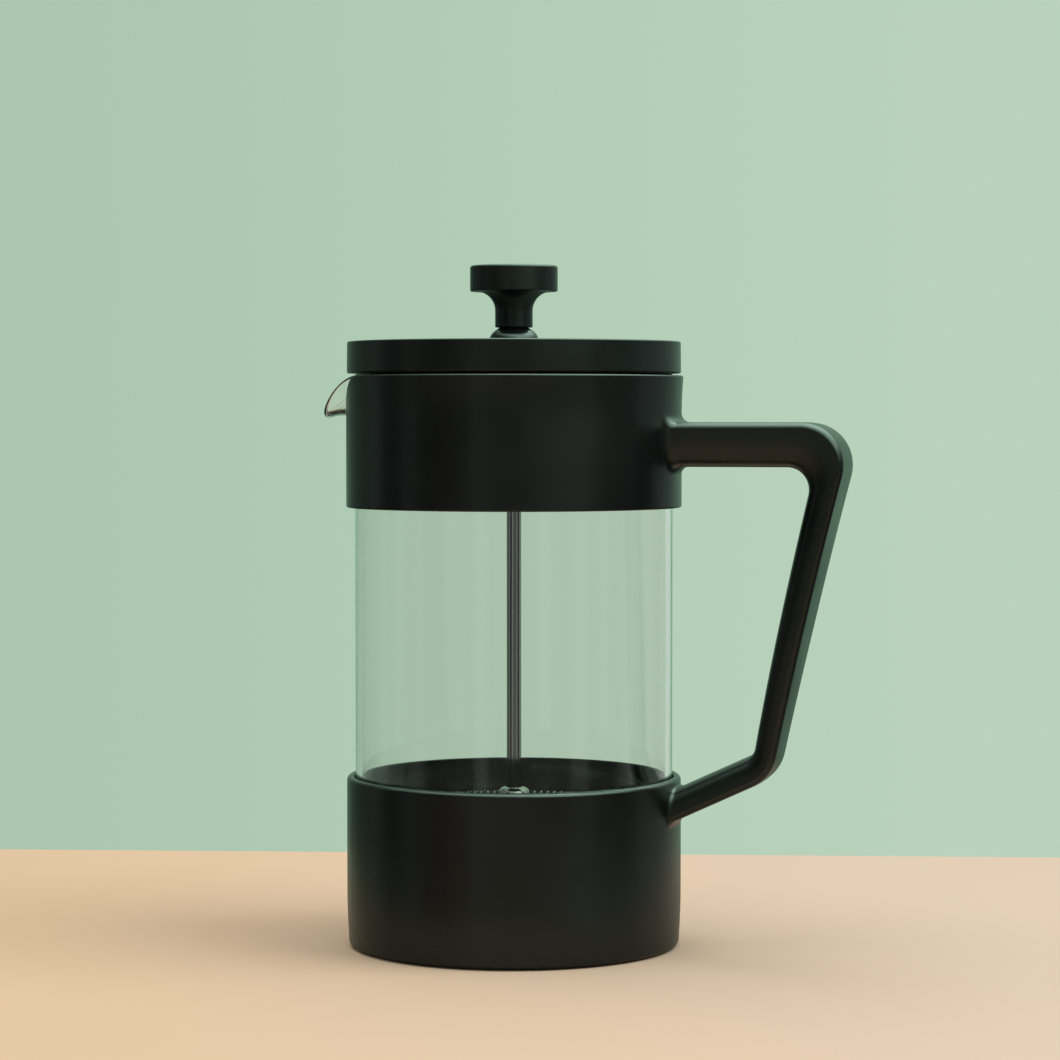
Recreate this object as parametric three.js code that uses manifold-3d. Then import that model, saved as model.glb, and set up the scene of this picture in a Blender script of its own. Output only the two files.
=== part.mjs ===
// French press of about one litre: a glass beaker in a moulded frame, a lid that turns in the
// beaker's mouth, and a plunger that carries a filter of stacked discs.
// Millimetres, +Z up. The origin is on the beaker's axis at table level.
// The handle stands out along +X and the spout pours along -X.

import * as THREE from 'three';
import { mergeVertices } from 'three/addons/utils/BufferGeometryUtils.js';
import Module from 'manifold-3d';

const wasm = await Module();
wasm.setup();

// ------------------------------------------------------------------ driving dimensions

// Fits
const seatGap = 0.3;            // between two pieces that rest on or clamp each other
const slideGap = 0.3;           // around a piece that slides or turns in another
const mouthGap = 0.4;           // between the beaker and what hangs in its mouth

// Beaker: borosilicate glass with a flame-pulled spout
const glassRadius = 50;
const glassWall = 2;
const glassFloor = 2.6;
const glassHeight = 171.7;
const glassCornerRadius = 12;
const spoutReach = 12.4;        // how far the lip stands out past the wall
const spoutDrop = 12.2;         // how far the lip lies below the rim
const spoutDroop = 35;          // degrees that the lip points below level
const spoutHalfAngle = 31;      // degrees of the rim that are pulled, to each side
const spoutZone = 18;           // height of the wall that bends with the spout

// Base: a moulded cup with a recessed pad under it and a silicone ring inside it
const padRadius = 44;
const padThickness = 2;
const padProud = 0.5;           // how far the pad stands out of the cup's underside
const cupHeight = 53.4;         // rim above the table
const cupWall = 1.85;
const cupFloor = 2.5;
const cupAllowance = 0.9;       // between the glass and the cup's wall
const cupFootRise = 18;         // height over which the wall draws in towards the foot
const cupFootInset = 0.95;
const cupFootRadius = 2.2;
const seatRadius = 36;
const seatBand = 9;             // radial width of the silicone ring
const seatHeight = 2.6;

// Collar: a moulded band round the beaker's mouth, notched for the spout
const collarHeight = 41;
const collarWall = 1.95;
const collarEdge = 0.65;
const collarFlare = 0.55;       // how far the rim stands out past the wall
const collarFlareHeight = 12;
const rimProud = 0.4;           // how far the glass stands out of the collar
const notchAllowance = 3.3;     // below the spout's lip
const notchHalfAngle = 26;
const notchShoulder = 9;        // radii of the notch's rounded shoulders
const notchShoulderDrop = 8;

// Centring ribs inside the cup and the collar
const ribCount = 6;
const ribWidth = 1.6;
const ribEndMargin = 6;         // from a rib's ends to the rims

// Handle: a loop from the collar to the cup, D-shaped in section
const armDrop = 14;             // from the collar's rim to the upper arm
const armDepth = 13.9;
const handleStandOff = 56.6;    // from the collar to the outer upper corner
const gripLean = 26.3;          // how far the grip leans in on its way down
const gripDepthTop = 11;
const gripDepthLow = 8;
const gripBow = 0.6;
const lowArmDrop = 12.2;        // from the cup's rim to the lower arm's underside
const lowArmSlope = 25;         // degrees
const lowArmDepth = 9.8;
const handleWidthTop = 20.6;
const handleWidthLow = 16.5;
const handleCrown = 0.4;
const handleEdge = 1.3;
const handleSideFullness = 1.5; // exponent of the sides' curve, less is fuller
const rootFillet = 2.2;
const outerCorners = [13.5, 14];
const innerCorners = [7.3, 4.5];

// Lid: a moulded cap, and a strainer ring that hangs from it in the beaker's mouth
const lidHeight = 10.3;
const lidOverhang = 2.6;        // past the glass
const lidTaper = 0.1;
const lidWall = 2.2;
const lidTopWall = 2.4;
const lidEdge = 1;
const flangeThickness = 1.8;
const skirtDepth = 13.8;        // from the flange's top to the skirt's lower edge
const skirtWall = 1.6;
const slotCount = 9;
const slotWidth = 2.2;
const slotPitch = 7;            // degrees
const slotMargin = 2.4;         // from a slot's ends to the flange and the lower edge

// Rod guide: a domed bush through the lid, clamped by a nut under the strainer
const domeRadius = 7.8;
const domeRise = 5.05;
const domeNeckRadius = 4.85;
const guideShankRadius = 4.3;
const guideNutHeight = 3.2;
const guideNutAcross = 15;      // across the flats

// Plunger rod and knob
const rodRadius = 2.3;
const rodTipMargin = 0.8;       // from the rod's ends to the ends of what holds them
const rodChamfer = 0.6;
const knobRadius = 13.8;
const knobFlange = 8.1;
const knobStemRadius = 5.93;
const knobFillet = 6;
const knobHeight = 19.4;
const knobEdge = 0.7;
const knobRoof = 5;             // material over the insert
const insertRadius = 4;
const insertMargin = 1.2;       // from the insert to the stem's lower end

// Filter: nut, cross plate, mesh, coil, spiral plate, washer and hub, from below
const groundsSpace = 21.4;      // between the beaker's floor and the end nut
const filterWall = 0.6;
const filterRimHeight = 4.6;
const endNutHeight = 5;
const endNutAcross = 10;
const crossRadius = 40;
const crossThickness = 1;
const crossBand = 4;
const crossArm = 8;
const crossHub = 9;
const coilTube = 2.1;
const plateThickness = 0.8;
const plateRimHeight = 2.6;
const plateHoleRadius = 2.5;
const plateHoleRows = [{ radius: 17, count: 8 }, { radius: 31, count: 14 }];
const washerRadius = 8;
const washerThickness = 1;
const hubRadius = 5.2;
const hubHeight = 8;
const hubDome = 2.4;

// Facets of round forms
const wideFacets = 48;
const glassFacets = 56;
const glassFacetBias = 0.35;    // how much the glass's facets crowd towards the spout
const smallFacets = 24;
const knobFacets = 30;
const holeFacets = 8;
const arcFacets = 5;            // half the facets of one arc of a raised outline
const handleSideSteps = 5;
const cornerSteps = 7;
const gripSteps = 8;
const rootShares = [0.35, 0.7, 1];  // where the root's swell has sections, of its fillet
const rootDepth = 6;            // how far the handle reaches into a wall before it is cut
const cutMargin = 1;            // how far a cutting solid runs past what it cuts

// ------------------------------------------------------------------ derived dimensions

const recessTop = padThickness + seatGap;
const floorTop = recessTop + cupFloor;
const glassBottom = floorTop + seatGap + seatHeight + seatGap;
const rimLevel = glassBottom + glassHeight;
const glassInside = glassRadius - glassWall;

const cupInside = glassRadius + cupAllowance;
const cupRadius = cupInside + cupWall;
const collarRadius = cupInside + collarWall;
const collarTop = rimLevel - rimProud;
const collarBottom = collarTop - collarHeight;
const ribInside = glassRadius + seatGap;

const lidBottom = rimLevel + seatGap;
const lidTop = lidBottom + lidHeight;
const lidRadius = glassRadius + lidOverhang;
const guideHole = guideShankRadius + seatGap;
const rodHole = rodRadius + slideGap;
const skirtOutside = glassInside - mouthGap;
const skirtInside = skirtOutside - skirtWall;
const flangeTop = lidBottom + flangeThickness;
const skirtBottom = flangeTop - skirtDepth;
const guideNutBottom = lidBottom - seatGap - guideNutHeight;

const domeBase = lidTop + seatGap;
const domeTop = domeBase + domeRise * Math.sqrt(1 - (domeNeckRadius / domeRadius) ** 2);
const knobBottom = domeTop + seatGap;
const knobTop = knobBottom + knobHeight;
const insertTop = knobTop - knobRoof;
const insertBottom = knobBottom + insertMargin;

const endNutBottom = glassBottom + glassFloor + groundsSpace;
const crossBottom = endNutBottom + endNutHeight + seatGap;
const meshBottom = crossBottom + crossThickness + seatGap;
const meshTop = meshBottom + filterWall;
const filterRadius = glassInside - mouthGap;
const coilRadius = filterRadius - filterWall - seatGap - coilTube;
const coilLevel = meshTop + seatGap + coilTube;
const plateBottom = meshTop + seatGap;
const plateRadius = coilRadius - coilTube - seatGap;
const washerBottom = plateBottom + plateThickness + seatGap;
const hubBottom = washerBottom + washerThickness + seatGap;

// ------------------------------------------------------------------ helpers

const radians = THREE.MathUtils.degToRad;

// A solid of revolution about Z from [radius, height] points, in order up the outside.
function lathe(points, facets) {
  const profile = points.map(([radius, height]) => new THREE.Vector2(radius, height));
  return new THREE.LatheGeometry(profile, facets).rotateX(Math.PI / 2);
}

// A solid of revolution with a hole through it: its profile closes on itself.
function latheRing(points, facets) {
  return lathe([...points, points[0]], facets);
}

// Points of an elliptical arc in a profile, from one angle to another in degrees.
function arc(radius, height, radiusAcross, radiusUp, from, to, steps) {
  return Array.from({ length: steps + 1 }, (_, step) => {
    const angle = radians(from + ((to - from) * step) / steps);
    return [radius + radiusAcross * Math.cos(angle), height + radiusUp * Math.sin(angle)];
  });
}

// The profile of a plain flat ring.
function ringProfile(inside, outside, bottom, top) {
  return [[inside, bottom], [outside, bottom], [outside, top], [inside, top]];
}

// A closed geometry as a solid that can be joined and cut.
function toSolid(geometry) {
  const bare = geometry.clone();
  bare.deleteAttribute('normal');
  bare.deleteAttribute('uv');
  const merged = mergeVertices(bare, 1e-4);
  const corners = merged.index.array;
  const kept = [];
  for (let i = 0; i < corners.length; i += 3) {
    const [a, b, c] = corners.slice(i, i + 3);
    if (a !== b && b !== c && c !== a) kept.push(a, b, c);
  }
  return new wasm.Manifold(new wasm.Mesh({
    numProp: 3,
    vertProperties: Float32Array.from(merged.attributes.position.array),
    triVerts: Uint32Array.from(kept),
  }));
}

// A joined or cut solid as a geometry.
function toGeometry(solid) {
  const mesh = solid.getMesh();
  const geometry = new THREE.BufferGeometry();
  geometry.setAttribute('position', new THREE.BufferAttribute(mesh.vertProperties, 3));
  geometry.setIndex(new THREE.BufferAttribute(mesh.triVerts, 1));
  geometry.computeVertexNormals();
  return geometry;
}

function join(solid, additions) {
  return additions.reduce((whole, addition) => whole.add(addition), solid);
}

function cut(solid, tools) {
  return tools.reduce((rest, tool) => rest.subtract(tool), solid);
}

// A block between two corners, turned about Z.
function block(low, high, turn = 0) {
  const size = high.map((value, axis) => value - low[axis]);
  const middle = high.map((value, axis) => (value + low[axis]) / 2);
  return new THREE.BoxGeometry(...size).translate(...middle).rotateZ(turn);
}

// A flat outline raised between two levels.
function raise(shape, bottom, top, curveSegments) {
  const options = { depth: top - bottom, bevelEnabled: false, curveSegments };
  return new THREE.ExtrudeGeometry(shape, options).translate(0, 0, bottom);
}

// Adds a full circle to a path as equal arcs, each of which is split into two facets per
// curve segment when the outline is raised.
function circle(path, radius, arcs, clockwise = false) {
  const sweep = ((clockwise ? -2 : 2) * Math.PI) / arcs;
  for (let index = 0; index < arcs; index += 1) {
    path.absarc(0, 0, radius, index * sweep, (index + 1) * sweep, clockwise);
  }
  return path;
}

// Where the line through a and b meets the line through c and d.
function meet(a, b, c, d) {
  const along = b.clone().sub(a);
  const other = d.clone().sub(c);
  const share = c.clone().sub(a).cross(other) / along.cross(other);
  return a.clone().addScaledVector(along, share);
}

// ------------------------------------------------------------------ materials

function material(color, roughness, metalness = 0) {
  return new THREE.MeshStandardMaterial({ color, roughness, metalness });
}

const blackPlastic = () => material(0x16191a, 0.55);
const glossPlastic = () => material(0x101213, 0.2);
const silicone = () => material(0x2a2c2c, 0.75);
const steel = () => material(0xc6c8c8, 0.22, 1);
const brass = () => material(0xb59a5a, 0.35, 1);

function clearGlass() {
  const glass = material(0xdcebe4, 0.03);
  glass.transparent = true;
  glass.opacity = 0.3;
  return glass;
}

// ------------------------------------------------------------------ base

// Upright ribs on the inside of a round wall, spread so that none lies under the spout.
function ribs(bottom, top) {
  const step = (2 * Math.PI) / ribCount;
  return Array.from({ length: ribCount }, (_, index) => toSolid(block(
    [ribInside, -ribWidth / 2, bottom],
    [cupInside + cupWall / 2, ribWidth / 2, top],
    step * (index + 0.5 * (1 - ribCount % 2)),
  )));
}

function baseCup() {
  const drawIn = (height) => cupFootInset * ((cupFootRise - height) / cupFootRise) ** 2;
  const footEdge = cupRadius - drawIn(padProud + cupFootRadius);
  const footSteps = [1 / 3, 2 / 3, 1].map((share) => {
    const height = THREE.MathUtils.lerp(padProud + cupFootRadius, cupFootRise, share);
    return [cupRadius - drawIn(height), height];
  });
  const profile = [
    [0, recessTop],
    [padRadius + seatGap, recessTop],
    [padRadius + seatGap, padProud],
    ...arc(footEdge - cupFootRadius, padProud + cupFootRadius, cupFootRadius, cupFootRadius, -90, 0, 3),
    ...footSteps,
    ...arc(cupRadius - cupWall / 2, cupHeight - cupWall / 2, cupWall / 2, cupWall / 2, 0, 90, 2),
    [cupInside, cupHeight],
    ...arc(cupInside - cupFootRadius, floorTop + cupFootRadius, cupFootRadius, cupFootRadius, 0, -90, 2),
    [0, floorTop],
  ];
  const shell = toSolid(lathe(profile, wideFacets));
  return toGeometry(join(shell, ribs(glassBottom + glassCornerRadius, cupHeight - ribEndMargin)));
}

function antiSlipPad() {
  return lathe([[0, 0], [padRadius, 0], [padRadius, padThickness], [0, padThickness]], wideFacets);
}

function beakerSeat() {
  const bottom = floorTop + seatGap;
  return latheRing(ringProfile(seatRadius - seatBand, seatRadius, bottom, bottom + seatHeight), wideFacets);
}

// ------------------------------------------------------------------ collar

// The opening for the spout, seen along X: round shoulders over a half-oval bottom.
function notchShape() {
  const side = collarRadius * Math.sin(radians(notchHalfAngle));
  const shoulderLevel = collarTop - notchShoulderDrop;
  const bottom = rimLevel - spoutDrop - notchAllowance;
  const shape = new THREE.Shape();
  shape.moveTo(side + notchShoulder, collarTop + cutMargin);
  shape.lineTo(-side - notchShoulder, collarTop + cutMargin);
  shape.lineTo(-side - notchShoulder, collarTop);
  shape.absellipse(-side - notchShoulder, shoulderLevel, notchShoulder, notchShoulderDrop,
    Math.PI / 2, 0, true);
  shape.absellipse(0, shoulderLevel, side, shoulderLevel - bottom, Math.PI, 2 * Math.PI, false);
  shape.absellipse(side + notchShoulder, shoulderLevel, notchShoulder, notchShoulderDrop,
    Math.PI, Math.PI / 2, true);
  shape.closePath();
  return shape;
}

function collarBand() {
  const flareBottom = collarTop - collarFlareHeight;
  const flareSteps = [0, 1 / 3, 2 / 3].map((share) => [
    collarRadius + collarFlare * share ** 2,
    flareBottom + collarFlareHeight * share,
  ]);
  const profile = [
    [cupInside, collarBottom],
    ...arc(collarRadius - collarEdge, collarBottom + collarEdge, collarEdge, collarEdge, -90, 0, 2),
    ...flareSteps,
    ...arc(
      collarRadius + collarFlare - collarEdge, collarTop - collarEdge, collarEdge, collarEdge,
      0, 90, 2,
    ),
    [cupInside, collarTop],
  ];
  const band = toSolid(latheRing(profile, wideFacets));
  const opening = raise(notchShape(), 0, collarRadius + collarFlare + cutMargin, holeFacets)
    .rotateX(Math.PI / 2)
    .rotateZ(-Math.PI / 2);
  const ribbed = join(band, ribs(collarBottom + ribEndMargin, collarTop - collarFlareHeight));
  return toGeometry(cut(ribbed, [toSolid(opening)]));
}

// ------------------------------------------------------------------ handle

// The points of a straight stretch, without its far end.
function straight(from, to, steps) {
  return Array.from({ length: steps }, (_, step) => from.clone().lerp(to, step / steps));
}

// An outline through four sharp corners, of which the middle two are rounded by arcs. Each
// stretch has a fixed number of points, so that two outlines pair up point by point.
function roundedOutline(corners, radii) {
  const points = [];
  const stretches = [1, gripSteps, 1];
  let start = corners[0];
  for (let index = 1; index < corners.length - 1; index += 1) {
    const corner = corners[index];
    const radius = radii[index - 1];
    const back = corners[index - 1].clone().sub(corner).normalize();
    const onward = corners[index + 1].clone().sub(corner).normalize();
    const halfAngle = Math.acos(back.dot(onward)) / 2;
    const setBack = radius / Math.tan(halfAngle);
    const entry = corner.clone().addScaledVector(back, setBack);
    const toCentre = back.clone().add(onward).normalize();
    const centre = corner.clone().addScaledVector(toCentre, radius / Math.sin(halfAngle));
    const sweep = Math.PI - 2 * halfAngle;
    points.push(...straight(start, entry, stretches[index - 1]));
    for (let step = 0; step < cornerSteps; step += 1) {
      points.push(entry.clone().rotateAround(centre, (-sweep * step) / cornerSteps));
    }
    start = corner.clone().addScaledVector(onward, setBack);
  }
  points.push(...straight(start, corners.at(-1), stretches.at(-1)), corners.at(-1));
  return points;
}

// The point at a distance from the axis on the line through two points.
function atReach(from, to, reach) {
  return from.clone().lerp(to, (reach - from.x) / (to.x - from.x));
}

// One of the handle's outlines, from inside the collar's wall to inside the cup's, with extra
// points near each wall where the root swells.
function handleOutline(corners, radii) {
  const [top, upper, lower, low] = corners;
  const topEnd = atReach(top, upper, collarRadius - rootDepth);
  const lowEnd = atReach(low, lower, cupRadius - rootDepth);
  const outline = roundedOutline([topEnd, upper, lower, lowEnd], radii);
  const rootRow = (from, to, wall) => rootShares.map(
    (share) => atReach(from, to, wall + rootFillet * share),
  );
  return [
    topEnd,
    ...rootRow(top, upper, collarRadius),
    ...outline.slice(1, -1),
    ...rootRow(low, lower, cupRadius).reverse(),
    lowEnd,
  ];
}

// The sharp corners of the handle's outer and inner outlines in the XZ plane, from the
// collar down to the cup. The first and last lie on the axis.
function handleCorners() {
  const top = collarTop - armDrop;
  const slope = Math.tan(radians(lowArmSlope));
  const lowArm = (reach) => cupHeight - lowArmDrop + (reach - cupRadius) * slope;
  const upperReach = collarRadius + handleStandOff;
  const lowerReach = upperReach - gripLean;
  const outer = [
    new THREE.Vector2(0, top),
    new THREE.Vector2(upperReach, top),
    new THREE.Vector2(lowerReach, lowArm(lowerReach)),
    new THREE.Vector2(0, lowArm(0)),
  ];
  const gripTop = outer[1].clone().setX(upperReach - gripDepthTop);
  const gripLow = outer[2].clone().setX(lowerReach - gripDepthLow);
  const arm = [0, upperReach].map((reach) => new THREE.Vector2(reach, top - armDepth));
  const low = [0, lowerReach].map((reach) => new THREE.Vector2(reach, lowArm(reach) + lowArmDepth));
  const inner = [
    arm[0],
    meet(arm[0], arm[1], gripTop, gripLow),
    meet(low[0], low[1], gripTop, gripLow),
    low[0],
  ];
  return { outer, inner };
}

// One D-shaped section between an outer and an inner point: crowned on the outside, with the
// sides drawing together towards the inside. Its points are pairs of depth and half-width.
function handleSection(outer, inner, width, flare) {
  const depthAxis = inner.clone().sub(outer);
  const depth = depthAxis.length() + 2 * flare;
  depthAxis.normalize();
  const half = width / 2 + flare;
  const bevel = handleEdge * (1 - Math.SQRT1_2);
  const first = Math.asin((handleCrown + handleEdge) / depth);
  const side = Array.from({ length: handleSideSteps }, (_, step) => {
    const angle = THREE.MathUtils.lerp(first, Math.PI / 2, step / handleSideSteps);
    return [depth * Math.sin(angle), half * Math.cos(angle) ** handleSideFullness];
  });
  const right = [
    [handleCrown / 4, half / 2],
    [handleCrown, half - handleEdge],
    [handleCrown + bevel, half - bevel],
    ...side,
  ];
  const left = right.map(([down, across]) => [down, -across]).reverse();
  return [[0, 0], ...right, [depth, 0], ...left].map(([down, across]) => {
    const point = outer.clone().addScaledVector(depthAxis, down - flare);
    return new THREE.Vector3(point.x, across, point.y);
  });
}

// A closed skin over a row of sections that all have the same number of points.
function loft(sections) {
  const count = sections[0].length;
  const last = (sections.length - 1) * count;
  const faces = [];
  for (let row = 0; row < last; row += count) {
    for (let column = 0; column < count; column += 1) {
      const a = row + column;
      const b = row + ((column + 1) % count);
      faces.push(a, a + count, b, b, a + count, b + count);
    }
  }
  for (let column = 1; column < count - 1; column += 1) {
    faces.push(0, column, column + 1);
    faces.push(last, last + column + 1, last + column);
  }
  const geometry = new THREE.BufferGeometry().setFromPoints(sections.flat());
  geometry.setIndex(faces);
  return geometry;
}

// How much a root swells at a distance from the wall that it springs from.
function rootFlare(distance) {
  const remaining = THREE.MathUtils.clamp(1 - distance / rootFillet, 0, 1);
  return rootFillet * (1 - Math.sqrt(1 - remaining ** 2));
}

// The handle's two outlines paired into sections, then cut to the walls that carry it.
function handle() {
  const { outer, inner } = handleCorners();
  const outside = handleOutline(outer, outerCorners);
  const inside = handleOutline(inner, innerCorners);
  const gripStart = 1 + rootShares.length + cornerSteps;
  const sections = outside.map((outerPoint, index) => {
    const innerPoint = inside[index];
    const along = THREE.MathUtils.clamp((index - gripStart) / gripSteps, 0, 1);
    const width = THREE.MathUtils.lerp(handleWidthTop, handleWidthLow, along);
    const wall = index < outside.length / 2 ? collarRadius : cupRadius;
    const flare = rootFlare(Math.min(outerPoint.x, innerPoint.x) - wall);
    const bow = new THREE.Vector2(-gripBow * 4 * along * (1 - along), 0);
    return handleSection(outerPoint.clone().add(bow), innerPoint.clone().add(bow), width, flare);
  });
  const wallCut = (radius, bottom, top) => toSolid(lathe(
    [[0, bottom], [radius + seatGap, bottom], [radius + seatGap, top], [0, top]], wideFacets));
  return toGeometry(cut(toSolid(loft(sections)), [
    wallCut(collarRadius, collarBottom, collarTop),
    wallCut(cupRadius, 0, cupHeight + cutMargin),
  ]));
}

// ------------------------------------------------------------------ beaker

// How far the rim is pulled at an angle from the spout's middle: 1 at the lip, 0 past its ends.
function spoutPull(angle) {
  const share = Math.min(Math.abs(angle) / radians(spoutHalfAngle), 1);
  return Math.cos((share * Math.PI) / 2) ** 2;
}

// A point of the glass's outer skin: rise is 0 at the foot of the spout and 1 at the rim. The
// wall follows a Hermite curve that leaves the foot upright and ends at the lip's droop.
function spoutSkin(angle, rise) {
  const pull = spoutPull(angle);
  const foot = new THREE.Vector2(glassRadius, rimLevel - spoutZone);
  const lip = new THREE.Vector2(
    glassRadius + spoutReach * pull,
    rimLevel - spoutDrop * pull ** 2,
  );
  const lipAngle = Math.PI / 2 - pull * radians(90 + spoutDroop);
  const speed = spoutZone;
  const rest = 1 - rise;
  const radius = foot.x * rest ** 2 * (1 + 2 * rise) + lip.x * rise ** 2 * (3 - 2 * rise)
    - speed * Math.cos(lipAngle) * rise ** 2 * rest;
  const height = foot.y * rest ** 2 * (1 + 2 * rise) + lip.y * rise ** 2 * (3 - 2 * rise)
    + speed * rise * rest ** 2 - speed * Math.sin(lipAngle) * rise ** 2 * rest;
  return new THREE.Vector3(-radius * Math.cos(angle), radius * Math.sin(angle), height);
}

// Moves a point of the plain beaker onto the spouted one: its depth inside the outer skin is
// kept, measured square to the skin.
function pullSpout(point) {
  const plainAngle = Math.atan2(point.y, -point.x);
  const angle = plainAngle - glassFacetBias * Math.sin(plainAngle);
  const radius = Math.hypot(point.x, point.y);
  const foot = rimLevel - spoutZone;
  if (point.z <= foot || spoutPull(angle) === 0) {
    return point.set(-radius * Math.cos(angle), radius * Math.sin(angle), point.z);
  }
  const rise = (point.z - foot) / spoutZone;
  const step = 1e-3;
  const around = spoutSkin(angle + step, rise).sub(spoutSkin(angle - step, rise));
  const upward = spoutSkin(angle, rise + step).sub(spoutSkin(angle, rise - step));
  const inward = around.cross(upward).normalize();
  return point.copy(spoutSkin(angle, rise)).addScaledVector(inward, glassRadius - radius);
}

function glassBeaker() {
  const rounding = glassWall / 2;
  const foot = rimLevel - spoutZone;
  const risers = [0.18, 0.36, 0.52, 0.66, 0.8];
  const outside = risers.map((rise) => [glassRadius, foot + rise * spoutZone]);
  const inside = risers.map((rise) => [glassInside, foot + rise * spoutZone]).reverse();
  const cornerLevel = glassBottom + glassCornerRadius;
  const cornerStart = glassRadius - glassCornerRadius;
  const profile = [
    [0, glassBottom],
    ...arc(cornerStart, cornerLevel, glassCornerRadius, glassCornerRadius, -90, 0, 5),
    [glassRadius, foot],
    ...outside,
    ...arc(glassRadius - rounding, rimLevel - rounding, rounding, rounding, 0, 180, 4),
    ...inside,
    [glassInside, foot],
    ...arc(cornerStart, cornerLevel, glassCornerRadius - glassWall, glassCornerRadius - glassFloor,
      0, -90, 4),
    [0, glassBottom + glassFloor],
  ];
  const geometry = lathe(profile, glassFacets);
  const positions = geometry.attributes.position;
  const point = new THREE.Vector3();
  for (let index = 0; index < positions.count; index += 1) {
    pullSpout(point.fromBufferAttribute(positions, index));
    positions.setXYZ(index, point.x, point.y, point.z);
  }
  return geometry;
}

// ------------------------------------------------------------------ lid

function lidCap() {
  const bossBottom = flangeTop + seatGap;
  const bossRadius = guideHole + lidWall;
  const ceiling = lidTop - lidTopWall;
  const topRadius = lidRadius - lidTaper;
  const profile = [
    [guideHole, bossBottom],
    [bossRadius, bossBottom],
    [bossRadius, ceiling],
    [lidRadius - lidWall, ceiling],
    [lidRadius - lidWall, lidBottom],
    [lidRadius - lidEdge / 2, lidBottom],
    [lidRadius, lidBottom + lidEdge / 2],
    ...arc(topRadius - lidEdge, lidTop - lidEdge, lidEdge, lidEdge, 0, 90, 3),
    [guideHole, lidTop],
  ];
  return latheRing(profile, wideFacets);
}

// The flange lies on the glass's rim and the skirt hangs in its mouth. Slots on the spout's
// side let the drink out and hold back stray grounds.
function lidStrainer() {
  const profile = [
    [guideHole, lidBottom],
    [skirtInside, lidBottom],
    [skirtInside, skirtBottom],
    [skirtOutside, skirtBottom],
    [skirtOutside, lidBottom],
    [lidRadius - lidWall - seatGap, lidBottom],
    [lidRadius - lidWall - seatGap, flangeTop],
    [guideHole, flangeTop],
  ];
  const slots = Array.from({ length: slotCount }, (_, index) => toSolid(block(
    [skirtInside - cutMargin, -slotWidth / 2, skirtBottom + slotMargin],
    [skirtOutside + cutMargin, slotWidth / 2, lidBottom - slotMargin],
    Math.PI + radians(slotPitch) * (index - (slotCount - 1) / 2),
  )));
  return toGeometry(cut(toSolid(latheRing(profile, wideFacets)), slots));
}

function rodGuide() {
  const neckAngle = THREE.MathUtils.radToDeg(Math.acos(domeNeckRadius / domeRadius));
  const profile = [
    [rodHole, guideNutBottom],
    [guideShankRadius, guideNutBottom],
    [guideShankRadius, domeBase],
    ...arc(0, domeBase, domeRadius, domeRise, 0, neckAngle, 4),
    [rodHole, domeTop],
  ];
  return latheRing(profile, smallFacets);
}

// A hexagon nut with a round hole, by its width across the flats.
function hexNut(across, hole, bottom, top) {
  const corner = across / 2 / Math.cos(Math.PI / 6);
  const shape = new THREE.Shape();
  for (let side = 0; side < 6; side += 1) {
    const angle = (side * Math.PI) / 3;
    shape[side ? 'lineTo' : 'moveTo'](corner * Math.cos(angle), corner * Math.sin(angle));
  }
  shape.closePath();
  shape.holes.push(circle(new THREE.Path(), hole, 2, true));
  return raise(shape, bottom, top, arcFacets);
}

function guideNut() {
  return hexNut(guideNutAcross, guideHole, guideNutBottom, guideNutBottom + guideNutHeight);
}

// ------------------------------------------------------------------ plunger

function plungerRod() {
  const bottom = endNutBottom + rodTipMargin;
  const top = insertTop - rodTipMargin;
  return lathe([
    [0, bottom],
    [rodRadius - rodChamfer, bottom],
    [rodRadius, bottom + rodChamfer],
    [rodRadius, top - rodChamfer],
    [rodRadius - rodChamfer, top],
    [0, top],
  ], smallFacets);
}

function knob() {
  const flangeBottom = knobTop - knobFlange;
  const pocket = insertRadius + seatGap;
  const profile = [
    [0, insertTop + seatGap],
    [pocket, insertTop + seatGap],
    [pocket, knobBottom],
    [knobStemRadius - knobEdge / 2, knobBottom],
    [knobStemRadius, knobBottom + knobEdge / 2],
    ...arc(knobStemRadius + knobFillet, flangeBottom - knobFillet, knobFillet, knobFillet, 180, 90, 5),
    [knobRadius - knobEdge / 2, flangeBottom],
    [knobRadius, flangeBottom + knobEdge / 2],
    [knobRadius, knobTop - knobEdge],
    [knobRadius - knobEdge, knobTop],
    [0, knobTop],
  ];
  return lathe(profile, knobFacets);
}

function knobInsert() {
  return latheRing(ringProfile(rodHole, insertRadius, insertBottom, insertTop), smallFacets);
}

function endNut() {
  return hexNut(endNutAcross, rodHole, endNutBottom, endNutBottom + endNutHeight);
}

// A flat wheel: a band and a hub that are joined by four crossed arms.
function crossPlate() {
  const windowInside = crossHub;
  const windowOutside = crossRadius - crossBand;
  const shape = circle(new THREE.Shape(), crossRadius, 4);
  const innerTrim = Math.asin(crossArm / 2 / windowInside);
  const outerTrim = Math.asin(crossArm / 2 / windowOutside);
  for (let quarter = 0; quarter < 4; quarter += 1) {
    const from = (quarter * Math.PI) / 2;
    const to = from + Math.PI / 2;
    const opening = new THREE.Path();
    opening.absarc(0, 0, windowOutside, from + outerTrim, to - outerTrim, false);
    opening.absarc(0, 0, windowInside, to - innerTrim, from + innerTrim, true);
    opening.closePath();
    shape.holes.push(opening);
  }
  shape.holes.push(circle(new THREE.Path(), rodHole, 2, true));
  return raise(shape, crossBottom, crossBottom + crossThickness, arcFacets);
}

// A round pan with a turned-up rim and a hole for the rod.
function panProfile(radius, bottom, wall, height) {
  return [
    [rodHole, bottom],
    [radius, bottom],
    [radius, bottom + height],
    [radius - wall, bottom + height],
    [radius - wall, bottom + wall],
    [rodHole, bottom + wall],
  ];
}

function filterMesh() {
  return latheRing(panProfile(filterRadius, meshBottom, filterWall, filterRimHeight), wideFacets);
}

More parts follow.
